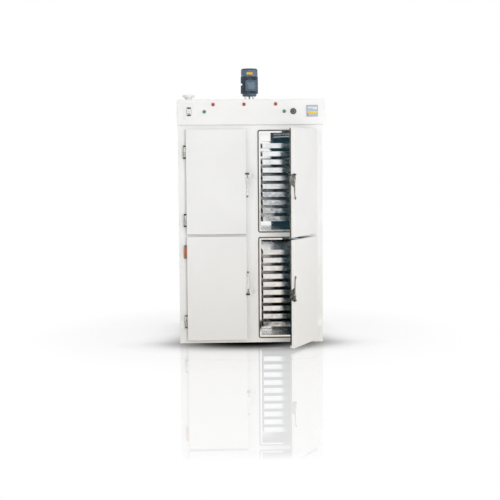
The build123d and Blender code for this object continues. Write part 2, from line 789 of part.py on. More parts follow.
def fan_cowl():
    """Pressed cowl over the motor's fan, with rounded shoulders and an inlet grille."""
    skin = 1.5
    outer = 74
    shoulder = 14
    slot_count = 12
    slot_circle = 36
    slot_length = 34
    slot_width = 6
    bottom = MOTOR_FRAME_TOP
    with BuildPart() as cowl:
        with BuildSketch(plan(bottom)):
            with Locations(MOTOR_PLACE):
                Circle(outer)
        extrude(amount=MOTOR_TOP - bottom)
        top_rim = cowl.edges().filter_by(GeomType.CIRCLE).sort_by(Axis.Z)[-1]
        fillet(top_rim, radius=shoulder)
        mouth = cowl.faces().filter_by(GeomType.PLANE).sort_by(Axis.Z)[0]
        offset(amount=-skin, openings=mouth)
        with BuildSketch(plan(MOTOR_TOP)):
            with Locations(MOTOR_PLACE):
                with PolarLocations(slot_circle, slot_count):
                    Rectangle(slot_length, slot_width)
        extrude(amount=-2 * skin, mode=Mode.SUBTRACT)
    save(cowl, "fan_cowl")


def vent_pipe():
    """Outlet stub from the fan chamber, with the cross bridge that guides the cap's spindle."""
    wall = 2
    bridge_width = 14
    bridge_height = 20
    with BuildPart() as pipe:
        with BuildSketch(plan(PLENUM_TOP - LINER_SHEET)):
            with Locations(VENT_PLACE):
                Circle(VENT_RADIUS)
                Circle(VENT_RADIUS - wall, mode=Mode.SUBTRACT)
        extrude(amount=VENT_TOP - PLENUM_TOP + LINER_SHEET)
        with BuildSketch(plan(VENT_BRIDGE)):
            with Locations(VENT_PLACE):
                Rectangle(2 * VENT_RADIUS - wall, bridge_width)
                Circle(SPINDLE_RADIUS + BEARING_CLEARANCE, mode=Mode.SUBTRACT)
        extrude(amount=bridge_height)
    save(pipe, "vent_pipe")


def vent_cap():
    """Rain cap on a spindle: pulled up or pushed down, it sets how much moist air leaves."""
    skin = 2
    rim_radius = 4
    spindle_bottom = VENT_BRIDGE - 14
    with BuildPart() as cap:
        with BuildSketch(plan(VENT_CAP_BOTTOM)):
            with Locations(VENT_PLACE):
                Circle(VENT_CAP_RADIUS)
        extrude(amount=VENT_CAP_TOP - VENT_CAP_BOTTOM)
        top_rim = cap.edges().filter_by(GeomType.CIRCLE).sort_by(Axis.Z)[-1]
        fillet(top_rim, radius=rim_radius)
        with BuildSketch(plan(VENT_CAP_BOTTOM)):
            with Locations(VENT_PLACE):
                Circle(VENT_CAP_RADIUS - skin)
        extrude(amount=VENT_CAP_TOP - VENT_CAP_BOTTOM - skin, mode=Mode.SUBTRACT)
        with BuildSketch(plan(spindle_bottom)):
            with Locations(VENT_PLACE):
                Circle(SPINDLE_RADIUS)
        extrude(amount=VENT_CAP_TOP - skin - spindle_bottom)
    save(cap, "vent_cap")


def supply_gland():
    """Cable gland in the rear panel: hexagon, lock nut and clamping nut round one bore."""
    hexagon_radius = 15
    hexagon_height = 6
    lock_nut_height = 4
    cap_radius = 12.5
    cap_taper = 6
    bottom = REAR - GLAND_INSIDE
    with BuildPart() as gland:
        with BuildSketch(elevation(bottom)):
            with Locations(GLAND_PLACE):
                Circle(GLAND_THREAD_RADIUS)
        extrude(amount=-GLAND_INSIDE - SHEET)
        with BuildSketch(elevation(bottom)):
            with Locations(GLAND_PLACE):
                RegularPolygon(hexagon_radius, 6)
        extrude(amount=-lock_nut_height)
        with BuildSketch(elevation(REAR)):
            with Locations(GLAND_PLACE):
                RegularPolygon(hexagon_radius, 6)
        extrude(amount=-hexagon_height)
        with BuildSketch(elevation(REAR + hexagon_height)):
            with Locations(GLAND_PLACE):
                Circle(cap_radius)
        extrude(amount=-GLAND_OUTSIDE + hexagon_height, taper=cap_taper)
        with BuildSketch(elevation(bottom)):
            with Locations(GLAND_PLACE):
                Circle(GLAND_BORE_RADIUS)
        extrude(amount=-GLAND_INSIDE - GLAND_OUTSIDE, mode=Mode.SUBTRACT)
    save(gland, "supply_gland")


# Control panel


def control_fascia():
    """Folded panel housing that stands proud of the doors' top rail, with its cut-outs."""
    with BuildPart() as fascia:
        with BuildSketch(elevation(FRONT)):
            with Locations((PANEL_MIDDLE, PANEL_BOTTOM + PANEL_HEIGHT / 2)):
                Rectangle(PANEL_WIDTH, PANEL_HEIGHT)
        extrude(amount=PANEL_PROUD)
        face = fascia.faces().sort_by(Axis.Y)[0]
        fillet(face.edges(), radius=PANEL_FOLD)
        back = fascia.faces().sort_by(Axis.Y)[-1]
        offset(amount=-SHEET, openings=back)
        with BuildSketch(elevation(PANEL_FACE)):
            with Locations(*RED_LAMPS, *GREEN_LAMPS):
                Circle(LAMP_BODY / 2)
            with Locations(KNOB_PLACE):
                Circle(KNOB_SPINDLE + KNOB_FIT)
            with Locations(CONTROLLER_PLACE):
                Rectangle(CONTROLLER_CUTOUT, CONTROLLER_CUTOUT)
            with Locations(BREAKER_PLACE):
                Rectangle(*BREAKER_CUTOUT)
        extrude(amount=-2 * SHEET, mode=Mode.SUBTRACT)
    save(fascia, "control_fascia")


def breaker_frame():
    """Flat cover frame round the main breaker."""
    width = 88
    height = 144
    thickness = 5
    corner = 6
    gap = 0.5
    with BuildPart() as frame:
        with BuildSketch(elevation(PANEL_FACE)):
            with Locations(BREAKER_PLACE):
                RectangleRounded(width, height, corner)
                RectangleRounded(
                    BREAKER_WIDTH + 2 * gap,
                    BREAKER_HEIGHT + 2 * gap,
                    BREAKER_CORNER,
                    mode=Mode.SUBTRACT,
                )
        extrude(amount=thickness)
        chamfer(frame.faces().sort_by(Axis.Y)[0].outer_wire().edges(), length=BREAKER_CHAMFER)
    save(frame, "breaker_frame")


def breaker_body():
    """Two-pole breaker with a stepped nose and a round recess for its toggle."""
    x, z = BREAKER_PLACE
    nose_width = BREAKER_WIDTH - 2
    nose_height = 45
    behind = 45
    toggle_gap = 0.5
    with BuildPart() as body:
        with BuildSketch(elevation(PANEL_FACE)):
            with Locations(BREAKER_PLACE):
                RectangleRounded(BREAKER_WIDTH, BREAKER_HEIGHT, BREAKER_CORNER)
        extrude(amount=BREAKER_STEP)
        with BuildSketch(elevation(PANEL_FACE - BREAKER_STEP)):
            with Locations(BREAKER_PLACE):
                Rectangle(nose_width, nose_height)
        extrude(amount=BREAKER_NOSE)
        chamfer(body.faces().sort_by(Axis.Y)[0].edges(), length=BREAKER_CHAMFER)
        with BuildSketch(elevation(PANEL_FACE)):
            with Locations(BREAKER_PLACE):
                Rectangle(*BREAKER_CUTOUT)
        extrude(amount=-behind)
        with BuildSketch(Plane.YZ.offset(x)):
            with Locations((TOGGLE_AXIS_Y, z)):
                Circle(TOGGLE_ROOM)
        extrude(amount=TOGGLE_WIDTH / 2 + toggle_gap, both=True, mode=Mode.SUBTRACT)
    save(body, "breaker_body")


def breaker_toggle():
    """Toggle of the breaker: a drum with a thumb lever, up at rest, which is on."""
    x, z = BREAKER_PLACE
    lean = math.radians(TOGGLE_LEAN)
    drum_radius = TOGGLE_ROOM - 0.5
    lever_width = 6
    tip = (TOGGLE_AXIS_Y - TOGGLE_REACH * math.cos(lean), z + TOGGLE_REACH * math.sin(lean))
    with BuildPart() as toggle:
        with BuildSketch(Plane.YZ.offset(x)):
            with Locations((TOGGLE_AXIS_Y, z)):
                Circle(drum_radius)
            with BuildLine():
                Line((TOGGLE_AXIS_Y, z), tip)
            trace(line_width=lever_width)
        extrude(amount=TOGGLE_WIDTH / 2, both=True)
    save(toggle, "breaker_toggle")


def lamp_bezels():
    """Threaded bodies and rings of the five pilot lamps."""
    ring_chamfer = 1
    body_length = 30
    with BuildPart() as bezels:
        with BuildSketch(elevation(PANEL_FACE)):
            with Locations(*RED_LAMPS, *GREEN_LAMPS):
                Circle(LAMP_DIAMETER / 2)
        extrude(amount=LAMP_RING)
        outer = bezels.edges().filter_by(GeomType.CIRCLE).group_by(Axis.Y)[0]
        chamfer(outer, length=ring_chamfer)
        with BuildSketch(elevation(PANEL_FACE)):
            with Locations(*RED_LAMPS, *GREEN_LAMPS):
                Circle(LAMP_BODY / 2)
        extrude(amount=-body_length)
    save(bezels, "lamp_bezels")


def lamp_lenses(places, name):
    """Domed lenses that screw onto the bezels."""
    flat_radius = 2
    with BuildPart() as lenses:
        with BuildSketch(elevation(PANEL_FACE - LAMP_RING)):
            with Locations(*places):
                Circle(LAMP_LENS / 2)
        extrude(amount=LAMP_DOME)
        rims = lenses.edges().filter_by(GeomType.CIRCLE).group_by(Axis.Y)[0]
        fillet(rims, radius=LAMP_DOME - flat_radius)
    save(lenses, name)


def selector_knob():
    """Skirted rotary knob with a grip ring and the spindle that goes through the panel."""
    skirt_height = 5
    grip_radius = 17
    grip_height = 16
    skirt_taper = 12
    flute_count = 8
    flute_radius = 4
    flute_circle = grip_radius + 2
    spindle_length = 25
    pointer_width = 2
    pointer_depth = 1
    clear = 0.4
    base = PANEL_FACE - clear
    with BuildPart() as knob:
        with BuildSketch(elevation(base)):
            with Locations(KNOB_PLACE):
                Circle(KNOB_DIAMETER / 2)
        extrude(amount=skirt_height, taper=skirt_taper)
        with BuildSketch(elevation(base - skirt_height)):
            with Locations(KNOB_PLACE):
                Circle(grip_radius)
                with PolarLocations(flute_circle, flute_count):
                    Circle(flute_radius, mode=Mode.SUBTRACT)
        extrude(amount=grip_height)
        with BuildSketch(elevation(base)):
            with Locations(KNOB_PLACE):
                Circle(KNOB_SPINDLE)
        extrude(amount=-spindle_length)
        with BuildSketch(elevation(base - skirt_height - grip_height)):
            with Locations((KNOB_PLACE[0] + grip_radius / 2, KNOB_PLACE[1])):
                Rectangle(grip_radius - pointer_width, pointer_width)
        extrude(amount=-pointer_depth, mode=Mode.SUBTRACT)
    save(knob, "selector_knob")


def controller_case():
    """Square panel controller: bezel, sunk window field and the case behind the panel."""
    corner = 4
    bezel_chamfer = 2
    case_depth = 75
    field = CONTROLLER_SIZE - 10
    with BuildPart() as case:
        with BuildSketch(elevation(PANEL_FACE)):
            with Locations(CONTROLLER_PLACE):
                RectangleRounded(CONTROLLER_SIZE, CONTROLLER_SIZE, corner)
        extrude(amount=CONTROLLER_BEZEL)
        chamfer(case.faces().sort_by(Axis.Y)[0].edges(), length=bezel_chamfer)
        with BuildSketch(elevation(PANEL_FACE - CONTROLLER_BEZEL)):
            with Locations(CONTROLLER_PLACE):
                Rectangle(field, field)
        extrude(amount=-CONTROLLER_SUNK, mode=Mode.SUBTRACT)
        with BuildSketch(elevation(PANEL_FACE)):
            with Locations(CONTROLLER_PLACE):
                Rectangle(CONTROLLER_CUTOUT, CONTROLLER_CUTOUT)
        extrude(amount=-case_depth)
    save(case, "controller_case")


def controller_window():
    """Printed front foil of the controller with its window, flat in the bezel."""
    field = CONTROLLER_SIZE - 11
    foil = 1.2
    with BuildPart() as window:
        with BuildSketch(elevation(PANEL_FACE - CONTROLLER_BEZEL + CONTROLLER_SUNK)):
            with Locations(CONTROLLER_PLACE):
                Rectangle(field, field)
        extrude(amount=foil)
    save(window, "controller_window")


# Doors: every door is drawn from its hinge axis, so that it can stand at any angle


class Door:
    """Place of one door: the hinge axis, the way to the free edge and the outward normal."""

    def __init__(self, side, level):
        self.side = side
        self.level = level
        self.name = f"{level}_{side}"
        self.sign = SIDES[side]
        self.hand = -self.sign
        self.base = DOOR_BASE[level]
        self.axis_x = self.sign * (DOOR_HINGE_EDGE + HINGE_OFFSET)
        self.axis_y = FRONT - DOOR_PROUD + HINGE_BEHIND_FACE
        angle = math.radians(DOOR_OPEN[side])
        self.along = Vector(self.hand * math.cos(angle), -math.sin(angle), 0)
        self.outward = Vector(self.sign * math.sin(angle), -math.cos(angle), 0)
        self.flip = LATCH_FLIP[level]

    def point(self, along, outward, z):
        """Point at a distance from the hinge axis towards the free edge and out of the door."""
        place = Vector(self.axis_x, self.axis_y, z)
        return place + self.along * along + self.outward * outward

    def plan(self, z):
        """Horizontal plane from the hinge axis; y is inward times hand."""
        return Plane(origin=self.point(0, 0, z), x_dir=self.along, z_dir=(0, 0, 1))

    def front(self, outward):
        """Plane parallel to the door's face; x is along times hand and y is up from the floor."""
        return Plane(origin=self.point(0, outward, 0), x_dir=self.along * self.hand, z_dir=self.outward)

    def inside(self, outward):
        """The same plane seen from inside: x is turned round, and an extrusion goes inwards."""
        return Plane(origin=self.point(0, outward, 0), x_dir=self.along * -self.hand, z_dir=self.outward * -1)

    def section(self, along):
        """Upright plane square to the door's face; x is outward and y is up from the floor."""
        sideways = self.outward.cross(Vector(0, 0, 1))
        return Plane(origin=self.point(along, 0, 0), x_dir=self.outward, z_dir=sideways)

    def latch(self, outward, rise):
        """Point of a section, outward from the door's face and up from the latch's pivot."""
        return (HINGE_BEHIND_FACE + outward, self.base + LATCH_PIVOT[self.level] + self.flip * rise)


DOORS = [Door(side, level) for side in SIDES for level in DOOR_BASE]
DOOR_START = HINGE_OFFSET
DOOR_MIDDLE = DOOR_START + DOOR_WIDTH / 2
DOOR_FACE = HINGE_BEHIND_FACE
DOOR_BACK = DOOR_FACE - DOOR_DEPTH
SHELL_BACK = DOOR_FACE - SHELL_DEPTH


def door_shell(door):
    """Outer skin of a door, a folded pan with lips behind."""
    middle = (door.hand * DOOR_MIDDLE, door.base + DOOR_HEIGHT / 2)
    with BuildPart() as shell:
        with BuildSketch(door.front(SHELL_BACK)):
            with Locations(middle):
                Rectangle(DOOR_WIDTH, DOOR_HEIGHT)
        extrude(amount=SHELL_DEPTH)
        face = shell.faces().sort_by(Axis(door.point(0, 0, 0), door.outward))[-1]
        fillet(face.edges(), radius=DOOR_CORNER)
        with BuildSketch(door.front(SHELL_BACK)):
            with Locations(middle):
                Rectangle(DOOR_WIDTH - 2 * DOOR_LIP, DOOR_HEIGHT - 2 * DOOR_LIP)
        extrude(amount=DOOR_SKIN, mode=Mode.SUBTRACT)
        with BuildSketch(door.front(SHELL_BACK + DOOR_SKIN)):
            with Locations(middle):
                Rectangle(DOOR_WIDTH - 2 * DOOR_SKIN, DOOR_HEIGHT - 2 * DOOR_SKIN)
        extrude(amount=SHELL_DEPTH - 2 * DOOR_SKIN, mode=Mode.SUBTRACT)
    save(shell, f"door_shell_{door.name}")


def door_panel(door):
    """Inner skin of a door: a shallow pan behind the shell, its back pressed out into a plug."""
    middle = (-door.hand * DOOR_MIDDLE, door.base + DOOR_HEIGHT / 2)
    plug_along = DOOR_START + HINGE_MARGIN + CHAMBER_WIDTH / 2
    plug_place = (-door.hand * plug_along, door.base + DOOR_HEIGHT / 2)
    plug_width = CHAMBER_WIDTH - 2 * PLUG_INSET
    plug_height = CHAMBER_HEIGHT - 2 * PLUG_INSET
    pan_width = DOOR_WIDTH - 2 * PAN_INSET
    pan_height = DOOR_HEIGHT - 2 * PAN_INSET
    pan_depth = DOOR_DEPTH - SHELL_DEPTH
    with BuildPart() as panel:
        with BuildSketch(door.inside(SHELL_BACK)):
            with Locations(middle):
                Rectangle(pan_width, pan_height)
        extrude(amount=pan_depth)
        with BuildSketch(door.inside(SHELL_BACK)):
            with Locations(middle):
                Rectangle(pan_width - 2 * DOOR_SKIN, pan_height - 2 * DOOR_SKIN)
        extrude(amount=pan_depth - DOOR_SKIN, mode=Mode.SUBTRACT)
        with BuildSketch(door.inside(DOOR_BACK)):
            with Locations(plug_place):
                Rectangle(plug_width, plug_height)
        extrude(amount=PLUG_RISE, taper=30)
        with BuildSketch(door.inside(DOOR_BACK + DOOR_SKIN)):
            with Locations(plug_place):
                Rectangle(plug_width - DOOR_SKIN, plug_height - DOOR_SKIN)
        extrude(amount=PLUG_RISE, taper=30, mode=Mode.SUBTRACT)
    save(panel, f"door_panel_{door.name}")


def frame_hinges():
    """Frame halves of the eight lift-off hinges, each with its fixed pin."""
    web_start = 7
    foot_reach = 44
    lower = (HINGE_LENGTH - HINGE_GAP) / 2
    pin_top = HINGE_LENGTH - 12
    with BuildPart() as hinges:
        for door in DOORS:
            outside = -door.hand
            wall = FRONT
            for base in HINGE_BASES[door.level]:
                z = door.base + base
                with BuildSketch(plan(z)):
                    with Locations((door.axis_x, door.axis_y)):
                        Circle(HINGE_RADIUS)
                    with BuildLine():
                        near = door.axis_x + outside * (web_start - HINGE_LEAF / 2)
                        far = near + outside * HINGE_LEAF
                        Polyline(
                            (near, door.axis_y),
                            (near, wall),
                            (far + outside * foot_reach, wall),
                            (far + outside * foot_reach, wall - HINGE_LEAF),
                            (far, wall - HINGE_LEAF),
                            (far, door.axis_y),
                            close=True,
                        )
                    make_face()
                extrude(amount=lower)
                with BuildSketch(plan(z + lower)):
                    with Locations((door.axis_x, door.axis_y)):
                        Circle(HINGE_PIN_RADIUS)
                extrude(amount=pin_top - lower)
    save(hinges, "frame_hinges")


def latch_body(door):
    """Latch body: base and leaf that wrap the door's free edge, two cheeks, pivot pin and cap."""
    base_width = 12.5
    base_middle = LATCH_ALONG - 9.75
    leaf_middle = LATCH_ALONG - 5
    cheek_spacing = 9
    plate = 3
    p = door.latch
    with BuildPart() as latch:
        with BuildSketch(door.section(base_middle)):
            with BuildLine():
                Polyline(p(0, -44), p(0, 55), p(plate, 55), p(plate, -44), close=True)
            make_face()
        extrude(amount=base_width / 2, both=True)
        with BuildSketch(door.section(leaf_middle)):
            with BuildLine():
                Polyline(p(plate, -60), p(plate, 55), p(-8, 55))
                ThreePointArc(p(-8, 55), p(-31, 42), p(-40, 18))
                ThreePointArc(p(-40, 18), p(-27, -34), p(plate, -60))
            make_face()
        extrude(amount=plate / 2, both=True)
        for offset_along in (-cheek_spacing, cheek_spacing):
            with BuildSketch(door.section(LATCH_ALONG + offset_along)):
                with BuildLine():
                    Polyline(p(6, -44), p(0, -44), p(0, 50), p(10, 50))
                    ThreePointArc(p(10, 50), p(13, 25), p(14, 0))
                    ThreePointArc(p(14, 0), p(12, -26), p(6, -44))
                make_face()
            extrude(amount=plate / 2, both=True)
        with BuildSketch(door.section(LATCH_ALONG)):
            with BuildLine():
                Polyline(p(10, 55), p(0, 55), p(0, 42), p(14, 42), p(14, 50))
                ThreePointArc(p(14, 50), p(13, 53.6), p(10, 55))
            make_face()
        extrude(amount=16, both=True)
        with BuildSketch(door.section(LATCH_ALONG)):
            with Locations(p(PIVOT_OUT, 0)):
                Circle(PIVOT_RADIUS)
        extrude(amount=cheek_spacing, both=True)
    return latch.part


def door_fittings(door):
    """Chrome fittings of one door: the door halves of its hinges and the body of its latch."""
    half = (HINGE_LENGTH - HINGE_GAP) / 2
    bore_depth = half - 10
    leaf_reach = 30
    latch = latch_body(door)
    with BuildPart() as fittings:
        for base in HINGE_BASES[door.level]:
            z = door.base + base + HINGE_LENGTH - half
            with BuildSketch(door.plan(z)):
                Circle(HINGE_RADIUS)
                with Locations((DOOR_START - HINGE_LEAF / 2, door.hand * leaf_reach / 2)):
                    Rectangle(HINGE_LEAF, leaf_reach)
            extrude(amount=half)
            with BuildSketch(door.plan(z)):
                Circle(HINGE_PIN_RADIUS + HINGE_PIN_CLEARANCE)
            extrude(amount=bore_depth, mode=Mode.SUBTRACT)
        add(latch)
    save(fittings, f"door_fittings_{door.name}")


def latch_lever(door):
    """Pull lever with the claw that drops from under the keeper's roller when it is pulled."""
    p = door.latch
    claw_middle = LATCH_ALONG + 2
    with BuildPart() as lever:
        with BuildSketch(door.section(LATCH_ALONG)):
            with BuildLine():
                Line(p(14.3, 0), p(13.5, -42))
                ThreePointArc(p(13.5, -42), p(13.5, -96), p(17.5, -150))
                ThreePointArc(p(17.5, -150), p(16.5, -156.5), p(10.5, -153))
                ThreePointArc(p(10.5, -153), p(6, -98), p(4.5, -42))
                Line(p(4.5, -42), p(3.7, 0))
                ThreePointArc(p(3.7, 0), p(PIVOT_OUT, 5.3), p(14.3, 0))
            make_face()
        extrude(amount=LEVER_WIDTH / 2, both=True)
        with BuildSketch(door.section(claw_middle)):
            with BuildLine():
                Polyline(p(5, 8), p(-32, 25), p(-36, 22), p(-34, 16), p(2, -6), p(10, 0), close=True)
            make_face()
        extrude(amount=CLAW_WIDTH / 2, both=True)
        with BuildSketch(door.section(LATCH_ALONG)):
            with Locations(p(PIVOT_OUT, 0)):
                Circle(PIVOT_RADIUS + HINGE_PIN_CLEARANCE)
        extrude(amount=LEVER_WIDTH, both=True, mode=Mode.SUBTRACT)
    save(lever, f"latch_lever_{door.name}")


def latch_keepers():
    """Keepers on the centre post: a foot, one ear and the roller that the claw draws under."""
    foot = 3
    ear_middle = 21
    ear_thickness = 3
    roller_radius = 4
    roller_end = 33
    roller_out = 15
    foot_width = 15
    foot_height = 44
    foot_corner = 3
    foot_middle = 26.5
    ear_height = 14
    with BuildPart() as keepers:
        for level in DOOR_BASE:
            flip = LATCH_FLIP[level]
            middle = DOOR_BASE[level] + LATCH_PIVOT[level] + flip * KEEPER_RISE
            roller_y = FRONT - roller_out
            for sign in SIDES.values():
                with BuildSketch(elevation(FRONT)):
                    with Locations((sign * foot_middle, middle)):
                        RectangleRounded(foot_width, foot_height, foot_corner)
                extrude(amount=foot)
                with BuildSketch(Plane.YZ.offset(sign * ear_middle)):
                    with Locations((roller_y, middle)):
                        Circle(ear_height / 2)
                    with Locations(((FRONT + roller_y) / 2, middle)):
                        Rectangle(FRONT - roller_y, ear_height)
                extrude(amount=ear_thickness / 2, both=True)
                with BuildSketch(Plane.YZ.offset(sign * ear_middle)):
                    with Locations((roller_y, middle)):
                        Circle(roller_radius)
                extrude(amount=sign * (roller_end - ear_middle))
    save(keepers, "latch_keepers")


# Build every piece

base_pan()
rear_panel()
roof_panel()
front_frame()
door_seals()
air_baffles()
insulation()
for side in SIDES:
    side_panel(side)
    tray_racks(side)
    for level in DOOR_BASE:
        chamber_liner(side, level)
for level in DOOR_BASE:
    trays(level)

fan_housing()
heater_elements()
impeller()
motor_shaft()
cooling_fan()
motor_stand()
motor_end_shields()
motor_frame()
terminal_box()
fan_cowl()
vent_pipe()
vent_cap()
supply_gland()

control_fascia()
breaker_frame()
breaker_body()
breaker_toggle()
lamp_bezels()
lamp_lenses(RED_LAMPS, "red_lenses")
lamp_lenses(GREEN_LAMPS, "green_lenses")
selector_knob()
controller_case()
controller_window()

frame_hinges()
latch_keepers()
for door in DOORS:
    door_shell(door)
    door_panel(door)
    door_fittings(door)
    latch_lever(door)
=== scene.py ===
import json
import math

import bmesh
import bpy
from mathutils import Matrix, Vector


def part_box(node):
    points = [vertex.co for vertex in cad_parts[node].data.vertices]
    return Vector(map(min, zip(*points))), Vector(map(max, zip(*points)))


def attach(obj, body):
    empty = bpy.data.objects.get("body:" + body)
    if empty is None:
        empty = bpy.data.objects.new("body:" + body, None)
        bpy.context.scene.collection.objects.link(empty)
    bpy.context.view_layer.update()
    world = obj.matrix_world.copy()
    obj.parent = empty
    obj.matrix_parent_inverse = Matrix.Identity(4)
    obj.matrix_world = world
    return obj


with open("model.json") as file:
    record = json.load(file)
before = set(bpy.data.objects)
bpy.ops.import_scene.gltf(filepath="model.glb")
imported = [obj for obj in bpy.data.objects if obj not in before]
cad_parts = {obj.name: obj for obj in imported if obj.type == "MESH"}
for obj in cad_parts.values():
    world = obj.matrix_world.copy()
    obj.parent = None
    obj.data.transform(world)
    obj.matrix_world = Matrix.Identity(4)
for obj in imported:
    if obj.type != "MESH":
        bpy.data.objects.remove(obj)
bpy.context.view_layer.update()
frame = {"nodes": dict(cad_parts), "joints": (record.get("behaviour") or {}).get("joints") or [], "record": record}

NODES = frame["nodes"]
JOINTS = {joint["name"]: joint for joint in frame["joints"]}
UP = Vector((0, 0, 1))
FRONTWARD = Vector((0, -1, 0))
RIGHTWARD = Vector((1, 0, 0))

# The camera, solved from the cabinet's edges
CAMERA_PLACE = (-0.4087, -10.50125, 1.6718)
CAMERA_PITCH = 4.9178
CAMERA_YAW = 2.2823
CAMERA_ROLL = -0.41372
CAMERA_LENS = 83.204
SENSOR = 36.0

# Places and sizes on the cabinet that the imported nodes' boxes don't give
HINGE_LENGTH = 0.114
HINGE_GAP = 0.0005
HINGE_RADIUS = 0.0105
HINGE_BORE = HINGE_RADIUS - 0.001
HINGE_CAP = 0.014
HINGE_BASES = {"upper": (0.065, 0.652), "lower": (0.110, 0.718)}
CABINET_BACK = 0.500
DOOR_BACK = -0.030
DOOR_START = 0.011
MOTOR_RADIUS = 0.074
TERMINAL_TURN = math.radians(9)
TERMINAL_FACE = 0.095


# Geometry helpers


def rounded(width, height, radius, steps=4):
    """Outline of a rectangle with round corners, about its own centre."""
    points = []
    corners = ((1, 1, 0), (-1, 1, 90), (-1, -1, 180), (1, -1, 270))
    for sx, sy, start in corners:
        cx = sx * (width / 2 - radius)
        cy = sy * (height / 2 - radius)
        for i in range(steps + 1):
            a = math.radians(start + 90 * i / steps)
            points.append((cx + radius * math.cos(a), cy + radius * math.sin(a)))
    return points


class Shape:
    """Collects prisms and turned forms, and turns them into one piece."""

    def __init__(self):
        self.bm = bmesh.new()

    def skin(self, low, high):
        """Joins two loops of points with faces."""
        for i in range(len(low)):
            j = (i + 1) % len(low)
            self.bm.faces.new((low[i], low[j], high[j], high[i]))

    def prism(self, outline, origin, x_dir, y_dir, depth, bevel=0.0, steps=2):
        """Raises an outline, drawn in x and y from origin, along x cross y."""
        x, y = Vector(x_dir), Vector(y_dir)
        base = [self.bm.verts.new(Vector(origin) + x * a + y * b) for a, b in outline]
        top = [self.bm.verts.new(v.co + x.cross(y) * depth) for v in base]
        self.skin(base, top)
        self.bm.faces.new(base[::-1])
        self.bm.faces.new(top)
        if bevel:
            rim = [self.bm.edges.get(ends) for ends in zip(top, top[1:] + top[:1])]
            bmesh.ops.bevel(
                self.bm, geom=rim, offset=bevel, segments=steps, profile=0.6, affect="EDGES"
            )

    def rings(self, profile, origin, axis, segments):
        """Circles round an axis through origin, one for each radius and height."""
        axis = Vector(axis).normalized()
        side = axis.orthogonal().normalized()
        other = axis.cross(side)
        circles = []
        for radius, height in profile:
            centre = Vector(origin) + axis * height
            circle = []
            for i in range(segments):
                a = 2 * math.pi * i / segments
                spoke = side * math.cos(a) + other * math.sin(a)
                circle.append(self.bm.verts.new(centre + spoke * radius))
            circles.append(circle)
        return circles

    def turned(self, profile, origin, axis, segments=32):
        """Revolves radius and height pairs round an axis through origin, and closes both ends."""
        circles = self.rings(profile, origin, axis, segments)
        for low, high in zip(circles, circles[1:]):
            self.skin(low, high)
        self.bm.faces.new(circles[0][::-1])
        self.bm.faces.new(circles[-1])

    def sleeve(self, inner, outer, low, high, origin, axis, segments=32, bevel=0.0006):
        """A ring with a bore, from one height to another."""
        profile = (
            (inner, low), (outer - bevel, low), (outer, low + bevel),
            (outer, high - bevel), (outer - bevel, high), (inner, high),
        )
        circles = self.rings(profile, origin, axis, segments)
        for lower, upper in zip(circles, circles[1:] + circles[:1]):
            self.skin(lower, upper)

    def screw(self, place, normal, radius):
        """A pan head with a small recess."""
        self.turned(
            ((radius, -0.0004), (radius, radius * 0.25), (radius * 0.8, radius * 0.55),
             (radius * 0.42, radius * 0.62), (radius * 0.36, radius * 0.3)),
            place, normal, segments=16,
        )

    def piece(self, name, body, slot, material):
        """Makes the object, rides it on a body and gives it its material; the slot is not used."""
        bmesh.ops.recalc_face_normals(self.bm, faces=self.bm.faces)
        mesh = bpy.data.meshes.new(name)
        self.bm.to_mesh(mesh)
        self.bm.free()
        mesh.shade_smooth()
        mesh.set_sharp_from_angle(angle=math.radians(38))
        mesh.materials.append(material)
        piece = bpy.data.objects.new(name, mesh)
        bpy.context.scene.collection.objects.link(piece)
        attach(piece, body)


# Material helpers

# Colour sockets of a Mix node, whose names are the same for every kind of value
MIX_FIRST = 6
MIX_SECOND = 7
MIX_RESULT = 2


def srgb(red, green, blue):
    """Linear colour from the 0 to 255 values that a screen shows."""
    def linear(value):
        share = value / 255
        return share / 12.92 if share <= 0.04045 else ((share + 0.055) / 1.055) ** 2.4
    return (linear(red), linear(green), linear(blue), 1.0)


class Nodes:
    """Short names for the nodes of one tree."""

    def __init__(self, tree):
        self.tree = tree

    def node(self, kind, **properties):
        made = self.tree.nodes.new(kind)
        for key, value in properties.items():
            setattr(made, key, value)
        return made

    def link(self, source, target):
        self.tree.links.new(source, target)

    def feed(self, value, target):
        """Links a socket, or sets a plain value."""
        if isinstance(value, bpy.types.NodeSocket):
            self.link(value, target)
        else:
            target.default_value = value

    def object_place(self):
        return self.node("ShaderNodeTexCoord").outputs["Object"]

    def axes(self, vector):
        split = self.node("ShaderNodeSeparateXYZ")
        self.link(vector, split.inputs[0])
        return split.outputs

    def maths(self, operation, first, second=0.0):
        made = self.node("ShaderNodeMath", operation=operation)
        self.feed(first, made.inputs[0])
        self.feed(second, made.inputs[1])
        return made.outputs[0]

    def span(self, value, low, high, start=0.0, end=1.0):
        """Maps low to high onto start to end, and clamps."""
        mapped = self.node("ShaderNodeMapRange")
        mapped.inputs["From Min"].default_value = low
        mapped.inputs["From Max"].default_value = high
        mapped.inputs["To Min"].default_value = start
        mapped.inputs["To Max"].default_value = end
        self.link(value, mapped.inputs["Value"])
        return mapped.outputs["Result"]

    def blend(self, share, first, second, mode="MIX"):
        """Mixes two colours, each a socket or a plain colour."""
        mix = self.node("ShaderNodeMix", data_type="RGBA", blend_type=mode)
        self.feed(share, mix.inputs["Factor"])
        self.feed(first, mix.inputs[MIX_FIRST])
        self.feed(second, mix.inputs[MIX_SECOND])
        return mix.outputs[MIX_RESULT]

    def shader_of(self, kind, color):
        made = self.node(kind)
        self.feed(color, made.inputs["Color"])
        return made

    def mixed(self, share, first, second):
        """Mixes two shader nodes."""
        mix = self.node("ShaderNodeMixShader")
        self.link(share, mix.inputs["Fac"])
        self.link(first.outputs[0], mix.inputs[1])
        self.link(second.outputs[0], mix.inputs[2])
        return mix


